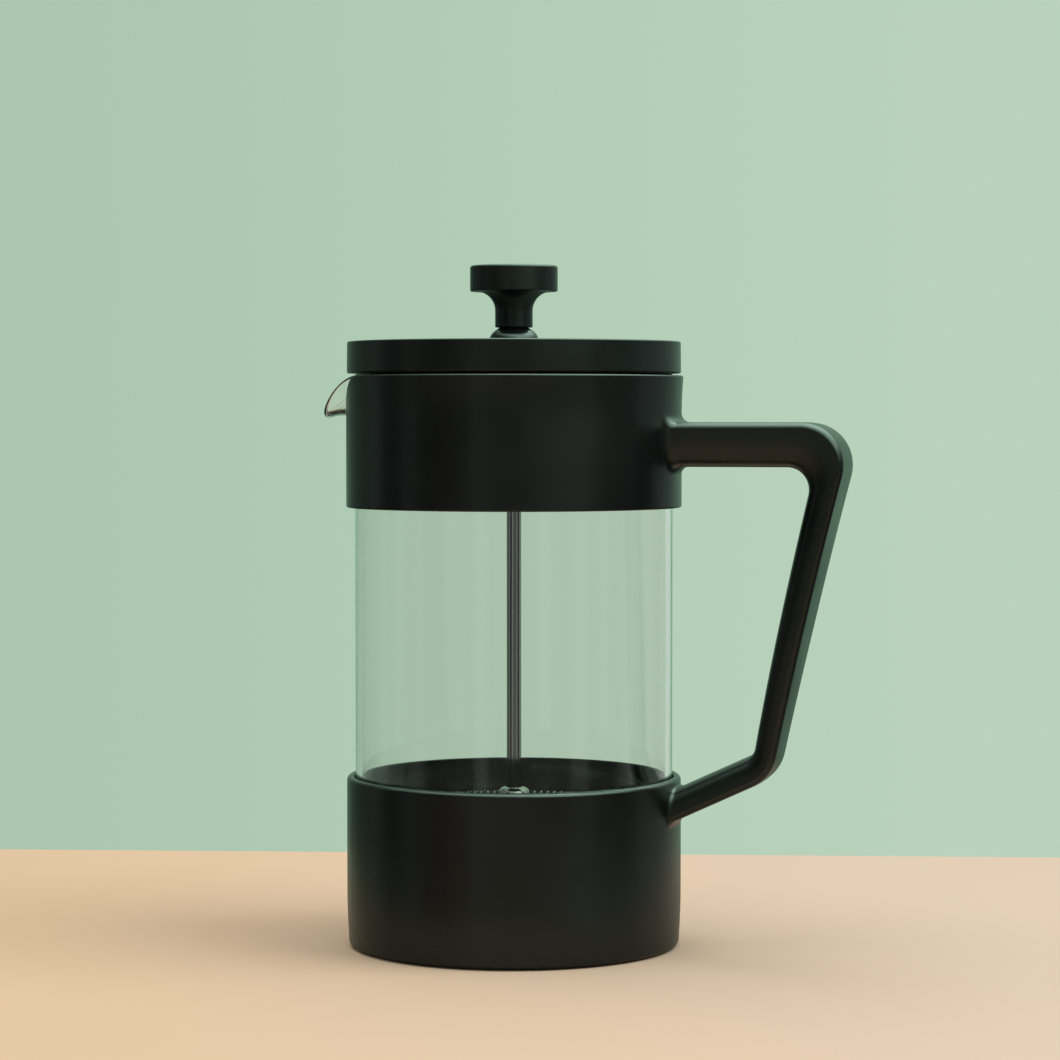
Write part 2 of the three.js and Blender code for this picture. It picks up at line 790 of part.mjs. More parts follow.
function rimCoil() {
  return new THREE.TorusGeometry(coilRadius, coilTube, holeFacets, wideFacets)
    .translate(0, 0, coilLevel);
}

function spiralPlate() {
  const pan = toSolid(latheRing(
    panProfile(plateRadius, plateBottom, plateThickness, plateRimHeight), wideFacets));
  const drill = (radius, angle) => toSolid(
    new THREE.CylinderGeometry(plateHoleRadius, plateHoleRadius, plateThickness + 2 * cutMargin, holeFacets)
      .rotateX(Math.PI / 2)
      .translate(radius, 0, plateBottom + plateThickness / 2)
      .rotateZ(angle));
  const holes = plateHoleRows.flatMap(({ radius, count }) => Array.from(
    { length: count }, (_, index) => drill(radius, (2 * Math.PI * index) / count)));
  return toGeometry(cut(pan, holes));
}

function hubWasher() {
  return latheRing(
    ringProfile(rodHole, washerRadius, washerBottom, washerBottom + washerThickness), smallFacets);
}

function hubCollar() {
  const shoulder = hubBottom + hubHeight - hubDome;
  const profile = [
    [rodHole, hubBottom],
    [hubRadius, hubBottom],
    ...arc(rodHole, shoulder, hubRadius - rodHole, hubDome, 0, 90, 4),
  ];
  return latheRing(profile, smallFacets);
}

// ------------------------------------------------------------------ assembly

function piece(name, geometry, finish) {
  const mesh = new THREE.Mesh(geometry, finish);
  mesh.name = name;
  return mesh;
}

const frame = new THREE.Group();
frame.add(
  piece('base_cup', baseCup(), blackPlastic()),
  piece('collar_band', collarBand(), blackPlastic()),
  piece('handle', handle(), blackPlastic()),
  piece('anti_slip_pad', antiSlipPad(), silicone()),
  piece('beaker_seat', beakerSeat(), silicone()),
);

const beaker = new THREE.Group();
beaker.add(piece('glass_beaker', glassBeaker(), clearGlass()));

const lid = new THREE.Group();
lid.add(
  piece('lid_cap', lidCap(), blackPlastic()),
  piece('lid_strainer', lidStrainer(), blackPlastic()),
  piece('guide_nut', guideNut(), blackPlastic()),
  piece('rod_guide', rodGuide(), glossPlastic()),
);

const plunger = new THREE.Group();
plunger.add(
  piece('plunger_rod', plungerRod(), steel()),
  piece('knob', knob(), blackPlastic()),
  piece('knob_insert', knobInsert(), brass()),
  piece('hub_collar', hubCollar(), steel()),
  piece('hub_washer', hubWasher(), steel()),
  piece('spiral_plate', spiralPlate(), steel()),
  piece('rim_coil', rimCoil(), steel()),
  piece('filter_mesh', filterMesh(), steel()),
  piece('cross_plate', crossPlate(), steel()),
  piece('end_nut', endNut(), steel()),
);

const frenchPress = new THREE.Group();
frenchPress.add(frame, beaker, lid, plunger);

export default frenchPress;
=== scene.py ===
# %% [markdown]
# # A french press in black plastic, clear glass and steel
# The object stands with the beaker's axis on Z and its foot at height zero. The handle reaches
# out along +X and the spout pours along -X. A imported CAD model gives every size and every
# moving body; this script builds the surfaces that are seen, one piece at a time, as shapes
# worked out with numpy, and then gives each piece the finish of its real material.

import math

import bmesh
import bpy
import numpy as np
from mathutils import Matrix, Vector


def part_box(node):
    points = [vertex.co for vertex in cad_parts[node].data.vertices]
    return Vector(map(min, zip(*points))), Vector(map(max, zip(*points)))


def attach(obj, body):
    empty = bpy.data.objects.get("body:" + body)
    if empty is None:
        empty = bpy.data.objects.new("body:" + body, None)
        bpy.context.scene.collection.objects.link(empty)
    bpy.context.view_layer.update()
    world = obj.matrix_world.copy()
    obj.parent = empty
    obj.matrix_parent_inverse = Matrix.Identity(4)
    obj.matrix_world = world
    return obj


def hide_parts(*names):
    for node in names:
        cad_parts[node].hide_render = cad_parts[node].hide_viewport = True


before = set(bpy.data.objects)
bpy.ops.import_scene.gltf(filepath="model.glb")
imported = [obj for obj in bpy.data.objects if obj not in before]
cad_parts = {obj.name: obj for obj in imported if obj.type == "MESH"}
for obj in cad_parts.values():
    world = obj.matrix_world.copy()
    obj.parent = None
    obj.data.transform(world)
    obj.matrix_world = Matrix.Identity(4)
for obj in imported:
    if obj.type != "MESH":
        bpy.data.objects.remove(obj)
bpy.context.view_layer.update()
MM = 0.001

# %% [markdown]
# ## The camera
# A small camera stands about a metre away, a little above the middle of the beaker, and looks
# slightly down. A long lens keeps the upright walls nearly parallel. The camera goes first, so
# that each piece can be looked at as soon as it is made.

# %% Camera
CAMERA_DISTANCE = 999.7 * MM      # from the beaker's axis
CAMERA_HEIGHT = 167 * MM
CAMERA_AZIMUTH = 14.5             # degrees from the -Y side, towards the handle
CAMERA_DROP = 2.06                # degrees that it looks down
CAMERA_SWING = 0.29               # degrees that it looks to the right of the axis
CAMERA_LENS = 107.63              # millimetres, in front of a sensor of this width
SENSOR_WIDTH = 36

azimuth = math.radians(CAMERA_AZIMUTH)
camera = bpy.data.objects.new("studio_camera", bpy.data.cameras.new("studio_camera"))
camera.data.lens = CAMERA_LENS
camera.data.sensor_width = SENSOR_WIDTH
camera.location = (
    CAMERA_DISTANCE * math.sin(azimuth),
    -CAMERA_DISTANCE * math.cos(azimuth),
    CAMERA_HEIGHT,
)
camera.rotation_euler = (
    math.radians(90 - CAMERA_DROP),
    0,
    azimuth - math.radians(CAMERA_SWING),
)
bpy.context.scene.collection.objects.link(camera)
bpy.context.scene.camera = camera
print("The camera is at", [round(value, 3) for value in camera.location])

# %% [markdown]
# ## Surfaces from numbers
# Nearly every piece of a french press is turned, moulded or pressed, so its surface is a grid:
# one direction runs along a profile and the other round an axis or along a path. The helpers
# below turn such a grid of points into faces. Corners of moulded pieces are never sharp, so
# each corner of a profile is written with its place and its radius, and one helper replaces it
# by an arc.

# %% Helpers for profiles and grids
TINY = 1e-6                       # metres or radians; anything less counts as nothing
ANGLE_DIGITS = 5                  # angles are rounded to these decimals, so that doubles merge
SAME_ANGLE = 1e-4                 # radians; angles that lie nearer are the same column
CIRCLE_STEPS = 192
SMALL_CIRCLE_STEPS = 96           # round pieces of a few millimetres


def unit(vectors):
    """Each vector divided by its length; a vector of no length stays zero."""
    length = np.linalg.norm(vectors, axis=-1, keepdims=True)
    return vectors / np.maximum(length, TINY ** 2)


def rounded(corners, steps=7):
    """A closed outline through corners of (across, height, radius), each of them an arc.

    An arc of radius r touches both sides of a corner of half-angle h at r / tan(h) from it, and
    its centre lies r / sin(h) along the line that halves the corner. Points between the arc's
    first and last radius vectors are their blend by sin((1 - s) * sweep) and sin(s * sweep)."""
    corner, radius = np.split(np.array(corners, float), [2], axis=1)
    back = unit(np.roll(corner, 1, 0) - corner)
    onward = unit(np.roll(corner, -1, 0) - corner)
    half = np.arccos(np.clip((back * onward).sum(1), -1, 1))[:, None] / 2
    centre = corner + unit(back + onward) * radius / np.sin(half)
    first = corner + back * radius / np.tan(half) - centre
    last = corner + onward * radius / np.tan(half) - centre
    sweep = np.maximum(np.pi - 2 * half, TINY)[:, None]
    share = np.linspace(0, 1, steps)[None, :, None]
    blend = first[:, None] * np.sin((1 - share) * sweep) + last[:, None] * np.sin(share * sweep)
    points = (centre[:, None] + blend / np.sin(sweep)).reshape(-1, 2)
    apart = np.linalg.norm(points - np.roll(points, 1, 0), axis=1) > TINY
    return points[apart]


def grid_faces(rows, columns, close_rows=False):
    """Four-cornered faces between neighbouring points of a grid, stored row after row.

    The last column joins the first, and with close_rows the last row joins the first too."""
    row, column = np.indices((rows if close_rows else rows - 1, columns)).reshape(2, -1)
    next_row, next_column = (row + 1) % rows, (column + 1) % columns
    return np.stack([
        row * columns + column,
        row * columns + next_column,
        next_row * columns + next_column,
        next_row * columns + column,
    ], axis=1)


def round_angles(count=CIRCLE_STEPS, extra=()):
    """Equal steps round a circle, with any extra angles sorted in between."""
    steps = np.linspace(0, 2 * np.pi, count, endpoint=False)
    every = np.concatenate([steps, np.mod(extra, 2 * np.pi)])
    return np.unique(np.round(every, ANGLE_DIGITS))


def turned(profile, angles=None, change=None):
    """A closed profile of (radius, height) points carried round Z.

    x = radius * cos(angle), y = radius * sin(angle), z = height. change, if given, takes the
    radii, heights and angles as grids and returns the radii it wants instead."""
    angles = round_angles() if angles is None else angles
    radius = np.repeat(profile[:, :1], len(angles), axis=1)
    height = np.repeat(profile[:, 1:], len(angles), axis=1)
    if change is not None:
        radius = change(radius, height, np.broadcast_to(angles, radius.shape))
    points = np.stack([radius * np.cos(angles), radius * np.sin(angles), height], axis=-1)
    return points.reshape(-1, 3), grid_faces(len(profile), len(angles), close_rows=True)


square_corner = rounded([(0, 0, 0), (1, 0, 0.2), (1, 1, 0)])
print("A corner of 90 degrees becomes", len(square_corner) - 2, "points")

# %% [markdown]
# ## One mesh for each piece
# A grid leaves doubled points at its poles, where a whole row shrinks to the axis, and it may
# face inwards. So each new mesh has its doubles merged and its faces turned outwards, and its
# signed volume is printed: a positive number means a closed surface that faces out. Flat faces
# beside small arcs shade badly with plain smooth normals; weighting each normal by the size of
# its faces keeps the flats flat and the arcs round. Edges that turn by more than the angle
# sharp, in degrees, stay crisp.

# %% Helper that makes a piece
def make_piece(name, shells, body, stands_for=(), sharp=40):
    """Puts one or more (points, faces) shells into a mesh that rides on a CAD body."""
    start = 0
    points, faces = [], []
    for shell_points, shell_faces in shells:
        points.append(shell_points)
        faces.extend((np.asarray(shell_faces) + start).tolist())
        start += len(shell_points)
    mesh = bpy.data.meshes.new(name)
    mesh.from_pydata(np.concatenate(points).tolist(), [], faces)
    work = bmesh.new()
    work.from_mesh(mesh)
    bmesh.ops.remove_doubles(work, verts=work.verts, dist=2 * TINY)
    bare = [edge for edge in work.edges if edge.is_wire]
    bmesh.ops.delete(work, geom=bare, context="EDGES")
    bmesh.ops.recalc_face_normals(work, faces=work.faces)
    open_edges = sum(edge.is_boundary for edge in work.edges)
    volume = work.calc_volume(signed=True)
    work.to_mesh(mesh)
    work.free()
    mesh.shade_smooth()
    mesh.set_sharp_from_angle(angle=math.radians(sharp))
    made = bpy.data.objects.new(name, mesh)
    bpy.context.scene.collection.objects.link(made)
    normals = made.modifiers.new("face_weighted_normals", "WEIGHTED_NORMAL")
    normals.keep_sharp = True
    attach(made, body)
    if stands_for:
        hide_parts(*stands_for)
    closed = f"{volume / MM ** 3:.0f} mm3"
    sheet = f"a sheet with {open_edges} border edges"
    print(f"{name}: {len(mesh.polygons)} faces,", sheet if open_edges else closed)
    return made


# %% [markdown]
# ## The base cup
# The glass stands in a moulded cup. Its wall draws in a little at the foot, its rim is round,
# and six narrow upright ribs inside keep the glass centred. It could be modelled as a
# cylinder with the inside cut out; carrying one closed profile round the axis gives the same
# form with clean rings of faces, and the ribs are a swelling of the inner wall. Angles crowd
# together at the ribs, because an even step would jump right over them.

# %% Ribs
GAP = 0.3 * MM                    # between pieces that rest on each other
RIB_COUNT = 6
RIB_WIDTH = 1.6 * MM
RIB_DEPTH = 0.25 * MM

rib_angles = (np.arange(RIB_COUNT) + 0.5) * 2 * np.pi / RIB_COUNT


def ribbed(inside, low, high):
    """Returns a change for turned(): the wall at radius inside swells inwards at each rib.

    The swelling is the rib's depth times 1 - x ** 4, with x from 0 at the rib's middle to 1 at
    its side, and it fades over one rib width at each end as a quarter of a sine wave."""
    def change(radius, height, angle):
        nearest = np.abs(np.mod(angle[..., None] - rib_angles + np.pi, 2 * np.pi) - np.pi).min(-1)
        across = np.clip(nearest * inside / (RIB_WIDTH / 2), 0, 1)
        along = np.clip(np.minimum(height - low, high - height) / RIB_WIDTH, 0, 1)
        swell = RIB_DEPTH * (1 - across ** 4) * np.sin(along * np.pi / 2)
        return np.where(np.abs(radius - inside) < TINY, radius - swell, radius)
    return change


def rib_columns(inside):
    """Extra angles that cross each rib, at fixed shares of its width."""
    shares = np.array([-1, -0.85, -0.65, -0.35, 0, 0.35, 0.65, 0.85, 1]) / 2
    return (rib_angles[:, None] + shares * RIB_WIDTH / inside).ravel()


def rib_rows(low, high):
    """Heights at which a wall needs points, so that a rib's ends are round."""
    shares = np.array([0, 0.3, 0.6, 1])
    return np.concatenate([low + shares * RIB_WIDTH, high - shares[::-1] * RIB_WIDTH])


# %% Base cup
cup_low, cup_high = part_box("base_cup")
pad_low, pad_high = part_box("anti_slip_pad")
seat_low, seat_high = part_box("beaker_seat")
CUP_WALL = 2.35 * MM
CUP_FOOT_RISE = 18 * MM           # height over which the wall draws in
CUP_FOOT_INSET = 0.8 * MM
CUP_FOOT_RADIUS = 1.5 * MM
CUP_FOOT_ROWS = 9
CUP_RISE = 0.3 * MM               # of the rim above the plain CAD cup's
CUP_RIM_EDGES = (1.4 * MM, 0.6 * MM)    # outside and inside
CUP_FLOOR_EDGE = 2.2 * MM
CUP_RIB_START = 12.3 * MM         # above the seat ring
RIB_MARGIN = 6 * MM               # from a rib's end to the wall's own
MOULDED_EDGE = 0.3 * MM           # small edges that are out of sight

cup_radius = cup_high.y
cup_inside = cup_radius - CUP_WALL
cup_rim = cup_high.z + CUP_RISE
recess_radius = pad_high.y + GAP
recess_top = pad_high.z + GAP
cup_floor = seat_low.z - GAP
cup_rib_low = seat_high.z + CUP_RIB_START
cup_rib_high = cup_rim - RIB_MARGIN


def cup_profile():
    """The cup's section: the foot draws in by inset * (1 - height / rise) squared."""
    rise = np.linspace(cup_low.z + CUP_FOOT_RADIUS, CUP_FOOT_RISE, CUP_FOOT_ROWS)
    foot = cup_radius - CUP_FOOT_INSET * (1 - rise / CUP_FOOT_RISE) ** 2
    return rounded([
        (0, recess_top, 0),
        (recess_radius, recess_top, MOULDED_EDGE),
        (recess_radius, cup_low.z, MOULDED_EDGE),
        (foot[0], cup_low.z, CUP_FOOT_RADIUS),
        *((radius, height, 0) for radius, height in zip(foot[1:], rise[1:])),
        (cup_radius, cup_rim, CUP_RIM_EDGES[0]),
        (cup_inside, cup_rim, CUP_RIM_EDGES[1]),
        *((cup_inside, row, 0) for row in rib_rows(cup_rib_low, cup_rib_high)[::-1]),
        (cup_inside, cup_floor, CUP_FLOOR_EDGE),
        (0, cup_floor, 0),
    ])


cup_angles = round_angles(extra=rib_columns(cup_inside))
base_cup = make_piece(
    "cup_shell",
    [turned(cup_profile(), cup_angles, ribbed(cup_inside, cup_rib_low, cup_rib_high))],
    "frame", ["base_cup"],
)

# %% [markdown]
# ## The pad and the ring inside
# A silicone pad fills a recess under the cup and stands half a millimetre proud, so that the
# press doesn't slide when the plunger is pushed. A soft ring inside carries the glass. Both are
# plain turned shapes with softly rounded edges.

# %% Anti-slip pad and beaker seat
def flat_disc(radius, low, high, edge):
    """The section of a disc with rounded rims."""
    return rounded([(0, low, 0), (radius, low, edge), (radius, high, edge), (0, high, 0)])


def flat_ring(inside, outside, low, high, edge):
    """The section of a ring with four rounded edges."""
    corners = [(inside, low), (outside, low), (outside, high), (inside, high)]
    return rounded([(*corner, edge) for corner in corners])


PAD_EDGE = 0.4 * MM
SEAT_EDGE = 0.8 * MM
SEAT_BAND = 9 * MM
foot_pad = make_piece(
    "foot_pad",
    [turned(flat_disc(pad_high.y, pad_low.z, pad_high.z, PAD_EDGE))],
    "frame", ["anti_slip_pad"],
)
seat_section = flat_ring(
    seat_high.y - SEAT_BAND, seat_high.y, seat_low.z, seat_high.z, SEAT_EDGE,
)
seat_ring = make_piece(
    "seat_ring", [turned(seat_section)], "frame", ["beaker_seat"],
)

# %% [markdown]
# ## The collar
# The collar grips the glass under its mouth. Its upper edge dips under the spout in one smooth
# wave. Cutting that notch out of a ring would leave a raw edge, so the ring is built around the
# line instead: each column of points runs from the lower edge up to the line, and the rounding
# of the rim is set square to the line, wherever it points. In the notch the inner edge is
# rounder, so that it clears the spout.

# %% Collar
collar_low, collar_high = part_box("collar_band")
COLLAR_WALL = 2.45 * MM
COLLAR_EDGE = 0.65 * MM
COLLAR_INNER_EDGE = 0.3 * MM
NOTCH_INNER_EDGE = 1.3 * MM
NOTCH_EDGE_POWER = 0.3            # the lower, the sooner the inner edge is round in the notch
COLLAR_FLARE = 0.55 * MM
COLLAR_FLARE_HEIGHT = 12 * MM
NOTCH_HALF_ANGLE = math.radians(38)
NOTCH_DEPTH = 15.6 * MM
NOTCH_STEPS = 121
COLLAR_STEPS = 150                # outside the notch
COLLAR_EDGE_ROWS = 7
COLLAR_WALL_ROWS = 17
COLLAR_RISE = 0.4 * MM            # above the plain CAD ring

collar_radius = cup_inside + COLLAR_WALL
collar_rim = collar_high.z + COLLAR_RISE
collar_rib_low = collar_low.z + RIB_MARGIN
collar_rib_high = collar_rim - COLLAR_FLARE_HEIGHT


def rim_line():
    """The collar's upper edge as (angle from the spout, height): it dips by the notch's depth
    times the squared cosine of a quarter turn across the notch."""
    notch = np.linspace(-NOTCH_HALF_ANGLE, NOTCH_HALF_ANGLE, NOTCH_STEPS)
    dip = NOTCH_DEPTH * np.cos(notch / NOTCH_HALF_ANGLE * np.pi / 2) ** 2
    rest = np.linspace(NOTCH_HALF_ANGLE, 2 * np.pi - NOTCH_HALF_ANGLE, COLLAR_STEPS)[1:-1]
    height = np.append(collar_rim - dip, np.full(len(rest), collar_rim))
    return np.append(notch, rest), height


def collar_surface():
    """The collar as a closed grid of reach along the wall, height and radius.

    The outer wall is a straight blend from the lower edge to the rim line moved in by the
    edge's radius e. The rounding's points lie e * (1 - sin(a)) square to the line and
    e * (1 - cos(a)) in from the wall. The inner edge's radius goes from its plain value to the
    notch's with a power of the share of the notch's depth."""
    line_angle, line_height = rim_line()
    ribs_from_spout = np.mod(np.pi - rib_columns(cup_inside) - line_angle[0], 2 * np.pi)
    columns = np.unique(np.append(line_angle, ribs_from_spout + line_angle[0]))
    height = np.interp(columns, line_angle, line_height, period=2 * np.pi)
    reach = collar_radius * columns
    turn = 2 * np.pi * collar_radius
    run = np.append(reach[1:], reach[0] + turn) - np.append(reach[-1] - turn, reach[:-1])
    up = unit(np.stack([np.roll(height, 1) - np.roll(height, -1), run], 1))

    def inset(distance):
        moved = reach - distance * up[:, 0], height - distance * up[:, 1]
        return np.stack(np.broadcast_arrays(*moved))

    def flared(level):
        share = np.clip((level - collar_rib_high) / COLLAR_FLARE_HEIGHT, 0, 1)
        return collar_radius + COLLAR_FLARE * share ** 2

    edge = COLLAR_EDGE
    notch_share = np.clip((collar_rim - height) / NOTCH_DEPTH, 0, 1)
    rounder = (NOTCH_INNER_EDGE - COLLAR_INNER_EDGE) * notch_share ** NOTCH_EDGE_POWER
    inner_edge = COLLAR_INNER_EDGE + rounder
    sweep = np.linspace(0, np.pi / 2, COLLAR_EDGE_ROWS)[:, None]
    share = np.linspace(0, 1, COLLAR_WALL_ROWS)[1:-1, None]
    foot = np.stack([reach, np.full(len(reach), collar_low.z)])[:, None]
    lift = np.array([0, 1])[:, None, None]
    wall_low, wall_high = foot + lift * edge, inset(edge)[:, None]
    levels = np.append(rib_rows(collar_rib_low, collar_rib_high)[::-1], collar_low.z)[:, None]
    top = inset(inner_edge)
    part = np.minimum((levels - collar_low.z) / (top[1] - collar_low.z), 1)
    blocks = [
        (foot + lift * edge * (1 - np.cos(sweep)), collar_radius - edge * (1 - np.sin(sweep))),
        (wall_low + share * (wall_high - wall_low), None),
        (inset(edge * (1 - np.sin(sweep))), flared(wall_high[1]) - edge * (1 - np.cos(sweep))),
        (inset(inner_edge * (1 - np.cos(sweep))), cup_inside + inner_edge * (1 - np.sin(sweep))),
        (foot + part * (top[:, None] - foot), cup_inside),
    ]
    rows = [
        np.stack(np.broadcast_arrays(*place, flared(place[1]) if radius is None else radius))
        for place, radius in blocks
    ]
    along, level, radius = np.concatenate(rows, axis=1)
    angle = np.pi - along / collar_radius
    radius = ribbed(cup_inside, collar_rib_low, collar_rib_high)(radius, level, angle)
    points = np.stack([radius * np.cos(angle), radius * np.sin(angle), level], -1)
    return points.reshape(-1, 3), grid_faces(*level.shape, close_rows=True)


collar = make_piece("collar_shell", [collar_surface()], "frame", ["collar_band"])

# %% [markdown]
# ## The handle
# One bar runs out from the collar, turns down into the grip and comes back to the cup. Its
# outside is nearly flat with small round edges, and its flat sides draw together a little
# towards the inside, whose corners are rounder. It could be a curve with a bevel, but a curve
# gives one section everywhere, and here the width and depth change all the way. So two lines
# are drawn in the XZ plane, one for the outside and one for the inside, with the same number
# of points, and each pair of points carries a section.

# %% Lines of the handle
handle_low, handle_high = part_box("handle")
ARM_DROP = 14.2 * MM              # from the CAD collar's rim to the upper arm
ARM_DEPTH = 13.9 * MM
STAND_OFF = 57.3 * MM             # from the collar to the outer upper corner
GRIP_LEAN = 26.1 * MM             # how far the grip leans in on its way down
GRIP_DEPTH_TOP = 10.5 * MM
GRIP_DEPTH_LOW = 7.6 * MM
GRIP_BOW = 0.8 * MM               # how far the grip's middle bends in
LOW_ARM_DROP = 12.9 * MM          # from the cup's rim to the lower arm's underside
LOW_ARM_SLOPE = math.tan(math.radians(25))
LOW_ARM_DEPTH = 10 * MM
OUTER_CORNERS = (13.5 * MM, 14 * MM)
INNER_CORNERS = (7.3 * MM, 4.5 * MM)
ROOT_FILLETS = (3 * MM, 1.8 * MM)    # at the upper arm and at the lower
ROOT_SINK = 0.8 * MM              # how deep the bar's end is hidden in the wall
ROOT_ROWS = 14
CORNER_ROWS = 30
BAR_ROWS = 22                     # along each straight stretch

arm_top = collar_high.z - ARM_DROP
upper_reach = collar_radius + STAND_OFF
lower_reach = upper_reach - GRIP_LEAN


def low_arm(reach, lift=0.0):
    """A point of the lower arm's underside, or of a line lifted above it."""
    height = cup_rim - LOW_ARM_DROP + (reach - cup_radius) * LOW_ARM_SLOPE + lift
    return np.array([reach, height])


def meet(a, b, c, d):
    """Where the line through a and b meets the line through c and d.

    The share of a to b is a ratio of two areas, each x * other y - y * other x."""
    along, other, gap = b - a, d - c, c - a
    share = (gap[0] * other[1] - gap[1] * other[0]) / (along[0] * other[1] - along[1] * other[0])
    return a + share * along


outer_line = np.array([
    (0, arm_top), (upper_reach, arm_top), low_arm(lower_reach), low_arm(0),
])
grip_inside = outer_line[1:3] - [[GRIP_DEPTH_TOP, 0], [GRIP_DEPTH_LOW, 0]]
arm_inside = np.array([(0, arm_top - ARM_DEPTH), (upper_reach, arm_top - ARM_DEPTH)])
low_inside = np.array([low_arm(lower_reach, LOW_ARM_DEPTH), low_arm(0, LOW_ARM_DEPTH)])
inner_line = np.array([
    arm_inside[0],
    meet(*arm_inside, *grip_inside),
    meet(*low_inside, *grip_inside),
    low_inside[1],
])
print("The inside's corners lie at", np.round(inner_line / MM, 1).tolist())
print("The grip reaches", round(upper_reach / MM, 1), "mm out")
print("The CAD handle reaches", round(handle_high.x / MM, 1), "mm, and spans the heights",
      round(handle_low.z / MM, 1), "to", round(handle_high.z / MM, 1), "mm")


def corner_arc(before, corner, after, radius):
    """The arc that rounds one corner, with the same rule as rounded()."""
    return rounded([(*before, 0), (*corner, radius), (*after, 0)], CORNER_ROWS)[1:-1]


def root_reaches(fillet):
    """Distances from the wall at which the root's fillet has points.

    The fillet is a quarter circle: its points lie at radius * (1 - cos(a)) from the wall. The
    first lies inside the wall, so that the end is hidden there."""
    sweep = np.linspace(0, np.pi / 2, ROOT_ROWS)
    return np.append(-ROOT_SINK, fillet * (1 - np.cos(sweep)))


def bent_line(corners, radii):
    """A line through two rounded corners.

    Near each wall its points lie at given distances from the wall; between them and the arcs,
    and down the grip, they are evenly spread."""
    top, upper, lower, low = corners
    arcs = [
        corner_arc(top, upper, lower, radii[0]),
        corner_arc(upper, lower, low, radii[1]),
    ]
    high_reach, low_reach = [root_reaches(fillet)[:, None] for fillet in ROOT_FILLETS]
    arm = top + (collar_radius + high_reach) / (upper - top)[0] * (upper - top)
    low_root = low + (cup_radius + low_reach[::-1]) / (lower - low)[0] * (lower - low)
    spread = np.linspace(0, 1, BAR_ROWS + 2)[1:-1, None]
    stretches = [arm]
    for next_stretch in (*arcs, low_root):
        start, end = stretches[-1][-1], next_stretch[0]
        stretches += [start + spread * (end - start), next_stretch]
    return np.concatenate(stretches)


# %% [markdown]
# ## How the handle grows out of the walls
# A moulded handle has no seam at its root: the surface swells in a small fillet and runs
# tangent into the round wall. The swelling is a quarter circle too, added to the section's
# width and depth, and the last stretch of the bar is bent so that it ends on the cylinder of
# the wall instead of on a flat plane.

# %% Handle
ROOT_WIDTH = 25 * MM              # where the upper arm leaves the collar
GRIP_WIDTH = 23 * MM
LOW_WIDTH = 20 * MM               # at the lower arm
HANDLE_CROWN = 0.15 * MM
HANDLE_EDGE = 2.1 * MM
SIDE_TAPER = 0.07                 # share of the width that is lost from outside to inside
TAPER_POWER = 1.5
SIDE_POWER = 4.4                  # the higher, the tighter are the inner corners
NARROWING = 0.6                   # share of the grip's length below which it narrows
BEND_REACH = 14 * MM              # length over which the root follows the round wall
EDGE_POINTS = 9
SIDE_POINTS = 31


def section_shares(depth, half):
    """Half of the section as (depth, half-width) for each row.

    The outside is a parabola of the crown's height and its edge a quarter circle. From there
    to the middle of the inside the section is a superellipse: with power n, its depth goes
    with sin(a) ** (2 / n) and its half-width with cos(a) ** (2 / n), less the taper."""
    crown, edge = HANDLE_CROWN, HANDLE_EDGE
    depth, half = depth[:, None], half[:, None]
    share = np.linspace(0, 1, EDGE_POINTS)
    outside = np.stack([crown * share ** 2 + 0 * depth, share * (half - edge)], -1)
    turn = np.linspace(0, np.pi / 2, EDGE_POINTS)[1:]
    rim = np.stack([
        crown + edge * (1 - np.cos(turn)) + 0 * depth,
        half - edge + edge * np.sin(turn),
    ], -1)
    angle = np.linspace(0, np.pi / 2, SIDE_POINTS)[1:]
    along = np.sin(angle) ** (2 / SIDE_POWER)
    width = np.cos(angle) ** (2 / SIDE_POWER) * (1 - SIDE_TAPER * along ** TAPER_POWER)
    width[-1] = 0
    side = np.stack([crown + edge + (depth - crown - edge) * along, half * width], -1)
    return np.concatenate([outside, rim, side], axis=1)


